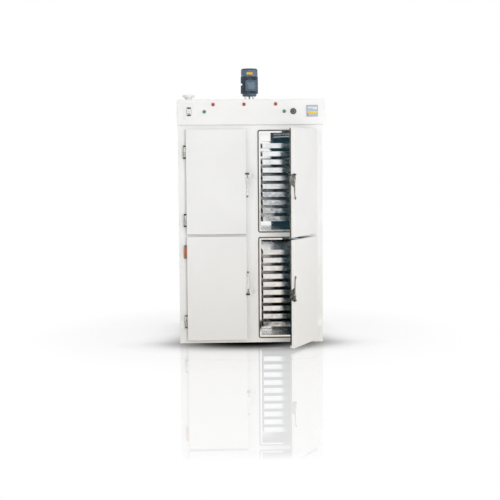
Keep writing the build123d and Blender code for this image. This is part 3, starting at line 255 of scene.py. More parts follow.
class Finish(Nodes):
    """One procedural material on the Principled shader."""

    def __init__(self, name, **values):
        self.material = bpy.data.materials.new(name)
        self.material.use_nodes = True
        super().__init__(self.material.node_tree)
        self.shader = self.tree.nodes["Principled BSDF"]
        self.place = self.object_place()
        for socket, value in values.items():
            self.shader.inputs[socket.replace("_", " ")].default_value = value

    def stretched(self, scale):
        mapping = self.node("ShaderNodeMapping")
        mapping.inputs["Scale"].default_value = scale
        self.link(self.place, mapping.inputs["Vector"])
        return mapping.outputs["Vector"]

    def noise(self, scale, detail=2.0, roughness=0.5, stretch=(1, 1, 1)):
        noise = self.node("ShaderNodeTexNoise")
        noise.inputs["Scale"].default_value = scale
        noise.inputs["Detail"].default_value = detail
        noise.inputs["Roughness"].default_value = roughness
        self.link(self.stretched(stretch), noise.inputs["Vector"])
        return noise.outputs["Fac"]

    def cells(self, scale):
        cells = self.node("ShaderNodeTexVoronoi")
        cells.inputs["Scale"].default_value = scale
        self.link(self.place, cells.inputs["Vector"])
        return cells.outputs["Distance"]

    def height(self):
        """Height over the floor."""
        return self.axes(self.place)["Z"]

    def color(self, source):
        self.link(source, self.shader.inputs["Base Color"])

    def rough(self, source, low, high):
        self.link(self.span(source, 0.3, 0.7, low, high), self.shader.inputs["Roughness"])

    def bump(self, source, strength, distance, after=None):
        """Adds a bump, on top of an earlier one if it is given."""
        bump = self.node("ShaderNodeBump")
        bump.inputs["Strength"].default_value = strength
        bump.inputs["Distance"].default_value = distance
        self.link(source, bump.inputs["Height"])
        if after is not None:
            self.link(after, bump.inputs["Normal"])
        self.link(bump.outputs["Normal"], self.shader.inputs["Normal"])
        return bump.outputs["Normal"]


def powder_coat(name, base, shade, floor_shade):
    """Powder coat with a fine orange peel, faint tone changes and painted shade towards the floor."""
    paint = Finish(name, Roughness=0.38)
    tone = paint.noise(2.2, detail=4, roughness=0.55)
    toned = paint.blend(paint.span(tone, 0.35, 0.7), base, shade)
    # Painted shade: the colour turns darker from 1.1 m down to the floor, where less light falls.
    low = paint.span(paint.height(), 1.1, 0.0)
    paint.color(paint.blend(low, toned, floor_shade))
    paint.rough(paint.noise(9, detail=5), 0.32, 0.46)
    waves = paint.bump(paint.noise(1.6, detail=1), 0.05, 0.02)
    paint.bump(paint.noise(420, detail=2), 0.10, 0.0004, after=waves)
    return paint.material


def steel_sheet(name, base, stain, roughness, grain, waviness):
    """Stainless sheet: a mirror with faint grain, water marks and the waves of thin sheet."""
    steel = Finish(name, Metallic=1.0, Roughness=roughness)
    stains = steel.noise(14, detail=6, roughness=0.65)
    steel.color(steel.blend(steel.span(stains, 0.45, 0.75), base, stain))
    steel.rough(steel.noise(30, detail=5), roughness * 0.7, roughness * 1.9)
    waves = steel.bump(steel.noise(5.5, detail=1), waviness, 0.01)
    steel.bump(steel.noise(3, detail=3, stretch=(2, 60, 160)), grain, 0.0002, after=waves)
    return steel.material


def cast_paint(name, base, dark, rim=None):
    """Thick paint on cast and pressed metal, dull in its hollows, with painted shade over a rim's height."""
    paint = Finish(name, Roughness=0.42)
    tone = paint.noise(26, detail=5, roughness=0.6)
    toned = paint.blend(paint.span(tone, 0.38, 0.72), base, dark)
    if rim:
        low, high, rim_shade = rim
        # Painted shade: the colour darkens over the rim's height, as the shade along the cowl's top edge.
        toned = paint.blend(paint.span(paint.height(), low, high), toned, rim_shade)
    paint.color(toned)
    paint.rough(paint.noise(60, detail=3), 0.34, 0.55)
    grain = paint.bump(paint.noise(160, detail=3), 0.22, 0.0008)
    paint.bump(paint.cells(520), 0.08, 0.0004, after=grain)
    return paint.material


def moulded(name, base, dark, roughness=0.45):
    """Moulded plastic with a fine spark-eroded grain."""
    plastic = Finish(name, Roughness=roughness)
    plastic.color(plastic.blend(plastic.span(plastic.noise(40, detail=4), 0.4, 0.75), base, dark))
    plastic.rough(plastic.noise(120, detail=2), roughness * 0.85, roughness * 1.2)
    plastic.bump(plastic.noise(1400, detail=1), 0.12, 0.0002)
    return plastic.material


def chromed(name, base, dark, roughness=0.09, painted=()):
    """Chrome plate with fine pits and smears, painted over from the second end of each span of X."""
    chrome = Finish(name, Metallic=1.0, Roughness=roughness)
    tone = chrome.blend(chrome.span(chrome.noise(70, detail=6), 0.5, 0.8), base, dark)
    if painted:
        along = chrome.axes(chrome.place)["X"]
        shares = [chrome.span(along, start, full) for start, full in painted]
        share = shares[0]
        for other in shares[1:]:
            share = chrome.maths("MAXIMUM", share, other)
        tone = chrome.blend(share, tone, OVERPAINT)
        chrome.link(chrome.maths("SUBTRACT", 1.0, share), chrome.shader.inputs["Metallic"])
    chrome.color(tone)
    chrome.rough(chrome.noise(45, detail=4), roughness * 0.6, roughness * 2.4)
    chrome.bump(chrome.noise(600, detail=3), 0.06, 0.0002)
    return chrome.material


def lens(name, base, deep):
    """Moulded coloured lens with fine rings and a clear gloss."""
    glass = Finish(name, Roughness=0.16, Coat_Weight=1.0, Coat_Roughness=0.05)
    glass.color(glass.blend(glass.span(glass.noise(90, detail=2), 0.35, 0.7), base, deep))
    glass.bump(glass.cells(420), 0.25, 0.0006)
    return glass.material


def rubbery(name, base, dark):
    """Soft rubber, dusty and slightly uneven."""
    rubber = Finish(name, Roughness=0.72)
    rubber.color(rubber.blend(rubber.span(rubber.noise(24, detail=6), 0.35, 0.7), base, dark))
    rubber.rough(rubber.noise(80, detail=3), 0.6, 0.85)
    rubber.bump(rubber.noise(240, detail=4), 0.25, 0.0006)
    return rubber.material


def woolly():
    """Mineral wool: matted yellow fibres."""
    wool = Finish("mineral_wool", Roughness=0.95)
    fibres = wool.noise(60, detail=8, roughness=0.7, stretch=(1, 1, 6))
    wool.color(wool.blend(wool.span(fibres, 0.3, 0.7), srgb(196, 178, 120), srgb(142, 126, 78)))
    wool.bump(fibres, 0.8, 0.004)
    return wool.material


def rusty():
    """Orange primer with rust coming through."""
    rust = Finish("primer_orange", Roughness=0.6)
    spots = rust.noise(220, detail=7, roughness=0.7)
    rust.color(rust.blend(rust.span(spots, 0.4, 0.62), srgb(222, 120, 52), srgb(122, 58, 26)))
    rust.bump(spots, 0.5, 0.0008)
    return rust.material


def printed(name, first, second, low, high):
    """Printed foil whose colour runs from one side to the other, from low to high along X."""
    foil = Finish(name, Roughness=0.3)
    run = foil.span(foil.axes(foil.place)["X"], low, high)
    speckle = foil.noise(500, detail=2)
    toned = foil.blend(run, first, second)
    foil.color(foil.blend(foil.span(speckle, 0.45, 0.9, 0, 0.25), toned, srgb(250, 250, 245)))
    foil.bump(foil.noise(900, detail=1), 0.08, 0.0002)
    return foil.material


OVERPAINT = srgb(241, 242, 242)
# One white paint in three brightnesses, lighter on the frame and panel than on the doors: painted light. Each also
# darkens towards the floor: painted shade.
WHITE = powder_coat("white_paint", srgb(245, 246, 246), srgb(241, 242, 241), srgb(237, 235, 231))
PANEL_WHITE = powder_coat("panel_white", srgb(244, 244, 243), srgb(240, 240, 240), srgb(237, 237, 237))
DOOR_WHITE = powder_coat("door_white", srgb(242, 242, 242), srgb(237, 237, 236), srgb(236, 234, 230))
LINER = steel_sheet("polished_stainless", (0.93, 0.935, 0.94, 1), (0.85, 0.85, 0.85, 1), 0.05, 0.06, 0.05)
BAFFLE = steel_sheet("baffle_stainless", (0.96, 0.96, 0.97, 1), (0.90, 0.90, 0.90, 1), 0.03, 0.04, 0.02)
TRAY = steel_sheet("tray_stainless", (0.92, 0.92, 0.93, 1), (0.72, 0.76, 0.80, 1), 0.095, 0.10, 0.14)
RACK = steel_sheet("rack_steel", (0.62, 0.63, 0.64, 1), (0.46, 0.46, 0.46, 1), 0.22, 0.25, 0.05)
DUCT = steel_sheet("duct_steel", (0.55, 0.57, 0.58, 1), (0.42, 0.43, 0.44, 1), 0.32, 0.3, 0.1)
HEATER = steel_sheet("heater_steel", (0.22, 0.20, 0.19, 1), (0.10, 0.09, 0.09, 1), 0.45, 0.3, 0.0)
SHAFT = steel_sheet("shaft_steel", (0.28, 0.28, 0.29, 1), (0.16, 0.14, 0.13, 1), 0.30, 0.2, 0.0)
CHROME = chromed("latch_chrome", (0.83, 0.84, 0.85, 1), (0.50, 0.49, 0.46, 1))
HINGE = chromed(
    "hinge_nickel", (0.76, 0.74, 0.68, 1), (0.54, 0.51, 0.44, 1), roughness=0.42,
    painted=((-0.5855, -0.5860), (0.50, 0.51)),
)
FITTINGS_RIGHT = chromed(
    "fittings_chrome", (0.83, 0.84, 0.85, 1), (0.50, 0.49, 0.46, 1), painted=((0.50, 0.51),)
)
SEAL = rubbery("seal_rubber", srgb(112, 102, 95), srgb(84, 76, 71))
DARK_RUBBER = rubbery("dark_rubber", srgb(46, 45, 46), srgb(30, 29, 30))
WORN_RUBBER = rubbery("worn_rubber", srgb(118, 115, 103), srgb(92, 90, 80))
WOOL = woolly()
RUST = rusty()
MOTOR = cast_paint("motor_paint", srgb(96, 113, 128), srgb(66, 80, 92))
# A lighter copy of the motor paint for the terminal lid: painted light on the face that the lamps catch.
MOTOR_LID_LIT = cast_paint("motor_lid_paint_lit", srgb(122, 138, 154), srgb(102, 118, 134))
# The cowl's dark band at the top is painted shade along its top edge.
COWL = cast_paint(
    "cowl_paint", srgb(108, 124, 140), srgb(80, 95, 112), rim=(2.386, 2.390, srgb(52, 62, 72))
)
VENT = powder_coat("vent_paint", srgb(251, 252, 251), srgb(246, 247, 246), srgb(246, 247, 246))
GLAND = moulded("gland_plastic", srgb(48, 48, 50), srgb(34, 34, 36))
FAN = moulded("fan_plastic", srgb(40, 40, 42), srgb(28, 28, 30))
BLACK = moulded("black_plastic", srgb(40, 38, 40), srgb(26, 25, 27), roughness=0.4)
BREAKER = moulded("breaker_plastic", srgb(246, 246, 247), srgb(236, 236, 239), roughness=0.4)
PLATE = powder_coat("breaker_plate", srgb(243, 243, 243), srgb(238, 238, 238), srgb(238, 238, 238))
KNOB = moulded("knob_plastic", srgb(58, 57, 60), srgb(42, 42, 45))
KNOB_RING = moulded("knob_ring", srgb(132, 134, 140), srgb(104, 106, 112), roughness=0.35)
CASE = moulded("controller_plastic", srgb(178, 178, 198), srgb(158, 158, 184))
FOIL = moulded("controller_foil", srgb(192, 194, 212), srgb(176, 178, 200), roughness=0.3)
RED = lens("red_lens", srgb(206, 0, 16), srgb(150, 0, 12))
GREEN = lens("green_lens", srgb(52, 150, 98), srgb(28, 104, 66))
BEZEL = chromed("bezel_plastic", (0.36, 0.34, 0.34, 1), (0.24, 0.23, 0.23, 1), roughness=0.25)

FINISHES = {
    "white_paint": WHITE,
    "polished_stainless": LINER,
    "tray_stainless": TRAY,
    "rack_steel": RACK,
    "duct_steel": DUCT,
    "heater_steel": HEATER,
    "shaft_steel": SHAFT,
    "seal_rubber": SEAL,
    "mineral_wool": WOOL,
    "fan_plastic": FAN,
    "motor_paint": MOTOR,
    "cowl_paint": COWL,
    "vent_paint": VENT,
    "gland_plastic": GLAND,
    "breaker_plate": PLATE,
    "breaker_plastic": BREAKER,
    "toggle_plastic": BREAKER,
    "bezel_plastic": BEZEL,
    "red_lens": RED,
    "green_lens": GREEN,
    "knob_plastic": KNOB,
    "controller_plastic": CASE,
    "controller_foil": FOIL,
    "latch_chrome": CHROME,
}


def dress_nodes():
    """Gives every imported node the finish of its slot, and a few their own."""
    own = {
        "frame_hinges": HINGE,
        "motor_stand": VENT,
        "control_fascia": PANEL_WHITE,
        "air_baffles": BAFFLE,
    }
    own.update({node: DOOR_WHITE for node in NODES if node.startswith("door_shell")})
    own.update({f"door_fittings_{level}_right": FITTINGS_RIGHT for level in ("lower", "upper")})
    for part in frame["record"]["subparts"]:
        node = part["node"]
        finish = own.get(node, FINISHES[part["material_slot"]])
        for slot in NODES[node].material_slots:
            slot.material = finish


# Places of the doors and latches at rest


class Door:
    """Hinge axis, direction to the free edge and outward normal of one door."""

    def __init__(self, name):
        joint = JOINTS[f"door_{name}_hinge"]
        side = -1 if name.endswith("left") else 1
        angle = math.radians(-joint["range_deg"][0])
        self.name = name
        self.level = name.split("_")[0]
        self.body = f"door_{name}"
        self.lever_body = f"latch_lever_{name}"
        self.axis = Vector(joint["pos_m"])
        self.along = Vector((-side * math.cos(angle), -math.sin(angle), 0))
        self.outward = Vector((side * math.sin(angle), -math.cos(angle), 0))
        self.low, self.high = (corner.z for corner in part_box(f"door_shell_{name}"))
        self.pivot = Vector(JOINTS[f"latch_{name}_pivot"]["pos_m"])
        self.rise = UP if self.level == "upper" else -UP

    def place(self, along, outward, height):
        """Point from the hinge axis, at a height over the floor."""
        return Vector((self.axis.x, self.axis.y, height)) + self.along * along + self.outward * outward

    def latch(self, along, outward, rise):
        """Point from the latch's pivot."""
        return self.pivot + self.along * along + self.outward * outward + self.rise * rise


DOORS = [Door(name) for name in ("lower_left", "upper_left", "lower_right", "upper_right")]


def hinge_caps(door):
    """Dark end caps of a door's two hinges, one half on the cabinet and one on the door."""
    outer = HINGE_RADIUS + 0.0003
    proud = 0.0004
    lower, upper = Shape(), Shape()
    for base in HINGE_BASES[door.level]:
        foot = Vector((door.axis.x, door.axis.y, door.low + base))
        lower.sleeve(HINGE_BORE, outer, -proud, HINGE_CAP, foot, UP)
        upper.sleeve(HINGE_BORE, outer, HINGE_LENGTH - HINGE_CAP, HINGE_LENGTH + proud, foot, UP)
    finish = DARK_RUBBER if door.axis.x < 0 else WHITE
    if door.name == "lower_left":
        finish = WORN_RUBBER
    lower.piece(f"hinge_caps_frame_{door.name}", "cabinet", "fan_plastic", finish)
    upper.piece(f"hinge_caps_door_{door.name}", door.body, "fan_plastic", finish)


def rusty_hinge(door):
    """The one hinge that still shows its orange primer."""
    outer = HINGE_RADIUS + 0.0004
    middle = HINGE_LENGTH / 2
    foot = Vector((door.axis.x, door.axis.y, door.low + HINGE_BASES[door.level][1]))
    for half, body, low, high in (
        ("frame", "cabinet", HINGE_CAP, middle - HINGE_GAP),
        ("door", door.body, middle + HINGE_GAP, HINGE_LENGTH - HINGE_CAP),
    ):
        sleeve = Shape()
        sleeve.sleeve(HINGE_BORE, outer, low, high, foot, UP)
        sleeve.piece(f"hinge_primer_{half}", body, "latch_chrome", RUST)


def latch_trim(door):
    """Dark cap, crossed spring bars and pivot heads of a latch, and the dark tip of its lever."""
    out, rise, along = door.outward, door.rise, door.along
    hand = 1 if out.cross(rise).dot(along) > 0 else -1

    cap_width, tip_width = 0.0336, 0.0144
    cap = Shape()
    cap.prism(
        ((-0.0088, 0.0415), (0.0056, 0.0415), (0.0056, 0.0502), (0.0046, 0.0540), (0.0016, 0.0558),
         (-0.0088, 0.0558)),
        door.latch(-cap_width / 2, 0, 0), out, rise, cap_width * hand, bevel=0.0008,
    )
    cap.piece(f"latch_cap_{door.name}", door.body, "gland_plastic", BLACK)

    cross = Shape()
    reach = Vector((0.0125, 0.0270))
    length = reach.length
    for lean in (1, -1):
        direction = (along * (reach.x * lean) + rise * reach.y).normalized()
        across = out.cross(direction)
        cross.prism(
            rounded(length, 0.0034, 0.0012),
            door.latch(0, 0.0012 + 0.0008 * lean, 0.0245), direction, across, 0.0015, bevel=0.0003,
        )
    cross.piece(f"latch_spring_{door.name}", door.body, "heater_steel", SHAFT)

    heads = Shape()
    for side in (1, -1):
        heads.turned(
            ((0.0052, 0), (0.0052, 0.0012), (0.0038, 0.0026), (0.0012, 0.0030)),
            door.latch(side * 0.0105, 0, 0), along * side, segments=24,
        )
    heads.piece(f"latch_pivot_heads_{door.name}", door.body, "latch_chrome", CHROME)

    tip = Shape()
    tip.prism(
        ((-0.0006, -0.1390), (0.0078, -0.1390), (0.0091, -0.1502), (0.0082, -0.1556), (0.0058, -0.1572),
         (0.0010, -0.1540)),
        door.latch(-tip_width / 2, 0, 0), out, rise, tip_width * hand, bevel=0.0008,
    )
    tip.piece(f"lever_tip_{door.name}", door.lever_body, "gland_plastic", BLACK)


def inner_panel_screws(door):
    """Pan heads down both sides of a door's inner panel, outside the line of the seal."""
    inset = 0.010
    width = 0.519
    spaces = 8
    screws = Shape()
    low, high = door.low + inset, door.high - inset
    near, far = DOOR_START + inset, DOOR_START + width - inset
    for i in range(spaces + 1):
        height = low + (high - low) * i / spaces
        for reach in (near, far):
            screws.screw(door.place(reach, DOOR_BACK, height), -door.outward, 0.0032)
    screws.piece(f"inner_panel_screws_{door.name}", door.body, "latch_chrome", CHROME)


# Control panel


def panel_place(x, z, proud=0.0):
    return Vector((x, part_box("control_fascia")[0].y - proud, z))


def centre_of(node):
    low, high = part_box(node)
    return (low + high) / 2


def controller_face():
    """Coloured fields, windows and keys of the controller."""
    middle = centre_of("controller_window")
    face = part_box("controller_window")[0].y
    fields = (
        ("controller_green_window", -0.0205, 0.0290, 0.036, 0.015,
         printed("window_green", srgb(206, 240, 214), srgb(182, 226, 206), 0.49, 0.53)),
        ("controller_cyan_window", 0.0205, 0.0235, 0.040, 0.021,
         printed("window_cyan", srgb(196, 228, 230), srgb(214, 240, 240), 0.53, 0.57)),
        ("controller_yellow_field", 0.0035, -0.0125, 0.078, 0.016,
         printed("field_yellow", srgb(236, 206, 0), srgb(250, 214, 10), 0.49, 0.57)),
        ("controller_blue_field", 0.0100, -0.0290, 0.064, 0.014,
         printed("field_blue", srgb(184, 208, 226), srgb(170, 206, 214), 0.49, 0.57)),
        ("controller_red_key", -0.0360, -0.0310, 0.011, 0.020,
         printed("key_red", srgb(176, 122, 118), srgb(196, 150, 140), 0.49, 0.50)),
    )
    for name, x, z, width, height, material in fields:
        field = Shape()
        place = Vector((middle.x + x, face, middle.z + z))
        field.prism(rounded(width, height, 0.0015), place, RIGHTWARD, UP, 0.0006, bevel=0.0002)
        field.piece(name, "cabinet", "controller_foil", material)
    keys = Shape()
    for i in range(4):
        place = Vector((middle.x - 0.0125 + 0.015 * i, face - 0.0005, middle.z - 0.0290))
        keys.prism(rounded(0.0105, 0.0085, 0.002), place, RIGHTWARD, UP, 0.0008, bevel=0.0003)
    keys.piece("controller_keys", "cabinet", "controller_foil", CASE)
    rule = Shape()
    place = Vector((middle.x + 0.010, face, middle.z + 0.0060))
    rule.prism(rounded(0.058, 0.0018, 0.0008), place, RIGHTWARD, UP, 0.0005)
    rule.piece("controller_rule", "cabinet", "controller_foil", KNOB_RING)


def breaker_trim():
    """Black shrouds and white screws on the terminals, painted shade round the nose, the frame's own screws."""
    low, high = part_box("breaker_body")
    middle = (low + high) / 2
    step_face = low.y + 0.009
    shrouds, screws = Shape(), Shape()
    for side in (1, -1):
        place = Vector((middle.x, step_face, middle.z + side * 0.0305))
        shrouds.prism(rounded(0.034, 0.013, 0.003), place, RIGHTWARD, UP, 0.0022, bevel=0.0005)
        for x in (-0.0085, 0.0085):
            screws.screw(place + Vector((x, -0.002, 0)), FRONTWARD, 0.0030)
    shrouds.piece("breaker_shrouds", "cabinet", "toggle_plastic", BLACK)
    screws.piece("breaker_terminal_screws", "cabinet", "latch_chrome", CHROME)

    # Painted shade: dark strips beside and below the breaker's nose, where its gaps fall in shade.
    gap_shade = Shape()
    for side in (1, -1):
        place = Vector((middle.x + side * 0.0185, low.y + 0.0012, middle.z))
        gap_shade.prism(rounded(0.0032, 0.040, 0.001), place, RIGHTWARD, UP, 0.0006)
    place = Vector((middle.x, low.y + 0.0002, middle.z - 0.0155))
    gap_shade.prism(rounded(0.018, 0.0065, 0.003), place, RIGHTWARD, UP, 0.0006)
    gap_shade.piece("breaker_gap_shade", "cabinet", "knob_plastic", KNOB_RING)

    frame_low, frame_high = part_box("breaker_frame")
    corners = Shape()
    for x in (frame_low.x + 0.010, frame_high.x - 0.010):
        for z in (frame_low.z + 0.010, frame_high.z - 0.010):
            corners.screw((x, frame_low.y, z), FRONTWARD, 0.0030)
    corners.piece("breaker_frame_screws", "cabinet", "breaker_plate", PLATE)


def knob_trim():
    """Grey ring, dark centre and pointer of the selector knob."""
    centre = centre_of("selector_knob")
    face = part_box("selector_knob")[0].y
    centre.y = face
    ring = Shape()
    ring.sleeve(0.0085, 0.0150, -0.0006, 0.0009, centre, FRONTWARD, segments=48, bevel=0.0003)
    ring.piece("knob_ring", "selector_knob", "knob_plastic", KNOB_RING)
    pointer = Shape()
    pointer.prism(
        rounded(0.009, 0.0018, 0.0008), centre + Vector((0.0115, -0.0009, 0)), RIGHTWARD, UP, 0.0004
    )
    pointer.piece("knob_pointer", "selector_knob", "breaker_plate", PLATE)
    collar = Shape()
    collar.sleeve(0.0185, 0.0212, 0, 0.0012, centre + Vector((0, 0.0162, 0)), FRONTWARD, segments=48)
    collar.piece("knob_collar", "selector_knob", "knob_plastic", KNOB_RING)


def panel_trim():
    """Blanking plug on the front, and the screws at the ends of the panel housing."""
    plug = Shape()
    plug.turned(
        ((0.0115, 0), (0.0115, 0.0008), (0.0100, 0.0018), (0.0010, 0.0021)),
        panel_place(-0.057, 1.976), FRONTWARD, segments=40,
    )
    plug.piece("blanking_plug", "cabinet", "white_paint", WHITE)
    low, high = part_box("control_fascia")
    screws = Shape()
    inset = 0.03
    for z in (low.z + inset, (low.z + high.z) / 2, high.z - inset):
        for x, outward in ((low.x, -RIGHTWARD), (high.x, RIGHTWARD)):
            screws.screw((x, low.y + inset, z), outward, 0.0040)
    screws.piece("panel_end_screws", "cabinet", "latch_chrome", CHROME)


# Motor


def motor_trim():
    """Orange plate and seam band on the cowl, lid with painted light, screws and stand bolts of the motor."""
    centre = centre_of("fan_cowl")
    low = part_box("fan_cowl")[0]

    label = Shape()
    start, end = math.radians(-20), math.radians(21)
    bottom, top = 2.346, 2.366
    steps = 14
    inner, outer = [], []
    for i in range(steps + 1):
        a = start + (end - start) * i / steps
        direction = Vector((math.sin(a), -math.cos(a), 0))
        inner.append(direction * (MOTOR_RADIUS - 0.0002))
        outer.append(direction * (MOTOR_RADIUS + 0.0006))
    loop = [(p.x, p.y) for p in inner + outer[::-1]]
    label.prism(loop, (centre.x, centre.y, bottom), RIGHTWARD, -FRONTWARD, top - bottom)
    label.piece(
        "cowl_label", "cabinet", "cowl_paint",
        printed("label_orange", srgb(214, 208, 60), srgb(248, 172, 40), centre.x - 0.020, centre.x - 0.004),
    )

    band = Shape()
    band.sleeve(MOTOR_RADIUS - 0.002, MOTOR_RADIUS + 0.0012, 0.0, 0.006,
                (centre.x, centre.y, low.z), UP, segments=64)
    band.piece("cowl_seam", "cabinet", "motor_paint", MOTOR)

    screws = Shape()
    for degrees in (-60, 30, 120, 210):
        a = math.radians(degrees)
        direction = Vector((math.sin(a), -math.cos(a), 0))
        screws.screw(Vector((centre.x, centre.y, low.z + 0.012)) + direction * (MOTOR_RADIUS - 0.0004),
                     direction, 0.0034)
    screws.piece("cowl_screws", "cabinet", "latch_chrome", CHROME)

    normal = Vector((math.sin(TERMINAL_TURN), -math.cos(TERMINAL_TURN), 0))
    across = Vector((math.cos(TERMINAL_TURN), math.sin(TERMINAL_TURN), 0))
    box_middle = centre_of("terminal_box").z
    face = Vector((centre.x, centre.y, box_middle)) + normal * TERMINAL_FACE
    # The lid takes a lighter copy of the motor paint: painted light.
    lid = Shape()
    lid.prism(rounded(0.066, 0.060, 0.012), face - normal * 0.0006, across, UP, 0.0026, bevel=0.0015)
    lid.piece("terminal_lid_field", "cabinet", "motor_paint", MOTOR_LID_LIT)
    lid_screws = Shape()
    for x in (-0.041, 0.041):
        for z in (-0.039, 0.039):
            lid_screws.screw(face + across * x + UP * z, normal, 0.0036)
    lid_screws.piece("terminal_lid_screws", "cabinet", "motor_paint", MOTOR)
    entry = Shape()
    side = face - normal * 0.017 + UP * -0.047
    entry.turned(((0.0105, 0), (0.0105, 0.005), (0.0085, 0.007), (0.0085, 0.010), (0.004, 0.0104)),
                 side, -UP, segments=6)
    entry.piece("terminal_entry_plug", "cabinet", "gland_plastic", BLACK)

    stand_low, stand_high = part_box("motor_stand")
    bolts = Shape()
    inset = 0.016
    for x in (stand_low.x + inset, stand_high.x - inset):
        for y in (stand_low.y + inset, stand_high.y - inset):
            bolts.turned(
                ((0.0085, 0), (0.0085, 0.0012), (0.0065, 0.0014), (0.0065, 0.0052), (0.0052, 0.0060),
                 (0.001, 0.0062)),
                (x, y, stand_low.z + 0.006), UP, segments=6,
            )
    bolts.piece("motor_stand_bolts", "cabinet", "latch_chrome", CHROME)


# Cabinet trim


def louvre_hoods():
    """Pressed hoods over the side louvres."""
    count, pitch, length = 5, 0.022, 0.092
    middle_y, middle_z = -0.425, 2.000
    for side, sign in (("left", -1), ("right", 1)):
        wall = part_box(f"side_panel_{side}")
        x = wall[0].x if sign < 0 else wall[1].x
        hoods = Shape()
        for i in range(count):
            z = middle_z + pitch * (i - (count - 1) / 2) + 0.003
            section = [(0, 0.0035)]
            for step in range(7):
                a = math.radians(90 - 15 * step)
                section.append((0.0075 * math.cos(a), 0.0095 * math.sin(a) - 0.0065))
            section.append((0.0065, -0.0072))
            section.append((0, 0.0015))
            outward = RIGHTWARD * sign
            hoods.prism(section, (x, middle_y + length / 2 * sign, z), outward, UP, length)
        hoods.piece(f"louvre_hoods_{side}", "cabinet", "white_paint", WHITE)


def sheet_screws():
    """Screws round the rear panel and along the roof's edges."""
    low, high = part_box("rear_panel")
    rear = Shape()
    columns, rows = 6, 11
    inset, front_inset = 0.014, 0.06
    head = 0.0042
    for i in range(columns):
        x = low.x + inset + (high.x - low.x - 2 * inset) * i / (columns - 1)
        for z in (low.z + inset, high.z - inset):
            rear.screw((x, CABINET_BACK, z), -FRONTWARD, head)
    for i in range(1, rows):
        z = low.z + inset + (high.z - low.z - 2 * inset) * i / rows
        for x in (low.x + inset, high.x - inset):
            rear.screw((x, CABINET_BACK, z), -FRONTWARD, head)
    rear.piece("rear_panel_screws", "cabinet", "latch_chrome", CHROME)

    low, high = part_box("roof_panel")
    roof = Shape()
    for i in range(columns):
        x = low.x + inset + (high.x - low.x - 2 * inset) * i / (columns - 1)
        roof.screw((x, high.y - inset, high.z), UP, head)
    for i in range(columns - 1):
        y = low.y + front_inset + (high.y - low.y - front_inset - inset) * i / (columns - 1)
        for x in (low.x + inset, high.x - inset):
            roof.screw((x, y, high.z), UP, head)
    roof.piece("roof_screws", "cabinet", "latch_chrome", CHROME)


# Stage, lights and camera


# Painted shadow round the foot: how far it reaches, where it narrows and ends, and its tones
SHADOW_ACROSS = 0.95
SHADOW_BEHIND = 0.66
SHADOW_AHEAD = 0.50
SHADOW_NARROWS = (-0.50, 0.05)
SHADOW_ENDS = (0.40, 0.75)
SHADOW_RAMP = 1.5
SHADOW_STOPS = (
    (0.0, 0.0), (0.133, 0.003), (0.2, 0.014), (0.307, 0.10), (0.42, 0.36),
    (0.48, 0.53), (0.6, 0.82), (0.7, 0.945), (0.867, 1.0),
)

# Strength of the floor's mirror image, by distance from the middle in shares of the ramp
MIRROR_RAMP = 5.0
MIRROR_STOPS = ((0.115, 0.04), (0.19, 0.34), (0.78, 0.22), (0.84, 0.20), (0.875, 0.0))
MIRROR_ROUGHNESS = 0.015

# Dark strip in the floor, which is seen only in reflections, and the floor's colour beside it
STRIP_START = (0.35, -0.95, 0)
STRIP_ALONG = (-0.843, -0.538, 0)
STRIP_ACROSS = (0.538, -0.843, 0)
STRIP_HALF = 0.60
STRIP_BLUR = 0.06
STRIP_NEAR = (0.25, 0.40)
STRIP_COLOR = (0.016, 0.024, 0.020, 1)
REFLECTED_COLOR = (0.90, 0.85, 0.78, 1)

# The floor's size, the light that it throws back, and how far from the middle the camera sees it as
# a share of plain white and then as plain white alone
FLOOR_SIZE = 60
BOUNCE_COLOR = (0.9, 0.89, 0.87, 1)
PLAIN_SHARE = 0.72
PLAIN_FROM = 0.9
PLAIN_FULL = 2.0

# Strength of the white surroundings as light
WORLD_LIGHT = 0.46


def stage_material(name):
    """An empty material, its nodes, and its output socket."""
    material = bpy.data.materials.new(name)
    material.use_nodes = True
    material.node_tree.nodes.clear()
    nodes = Nodes(material.node_tree)
    return material, nodes, nodes.node("ShaderNodeOutputMaterial").inputs["Surface"]


def ramp(nodes, source, stops):
    """Grey tone by a value, through stops in ascending order."""
    made = nodes.node("ShaderNodeValToRGB")
    elements = made.color_ramp.elements
    for place, _ in stops[2:]:
        elements.new(place)
    for element, (place, tone) in zip(elements, stops):
        element.position = place
        element.color = (tone, tone, tone, 1)
    nodes.link(source, made.inputs["Fac"])
    return made.outputs["Color"]


def painted_shadow(nodes, place):
    """Share of white on the floor: dark at the foot, narrower to the sides behind the front."""
    x, y, _ = nodes.axes(place)
    beyond = nodes.maths("SUBTRACT", nodes.maths("ABSOLUTE", y), CABINET_BACK)
    ahead = nodes.maths("MULTIPLY", nodes.maths("MAXIMUM", beyond), 1 / SHADOW_AHEAD)
    narrow = nodes.maths(
        "MULTIPLY", nodes.span(y, *SHADOW_NARROWS), 1 / SHADOW_BEHIND - 1 / SHADOW_ACROSS
    )
    across = nodes.maths("MULTIPLY", x, nodes.maths("ADD", narrow, 1 / SHADOW_ACROSS))
    squares = nodes.maths(
        "ADD", nodes.maths("POWER", nodes.maths("ABSOLUTE", across), 2), nodes.maths("POWER", ahead, 2)
    )
    reach = nodes.maths("MULTIPLY", nodes.maths("SQRT", squares), 1 / SHADOW_RAMP)
    return nodes.maths("MAXIMUM", ramp(nodes, reach, SHADOW_STOPS), nodes.span(y, *SHADOW_ENDS))


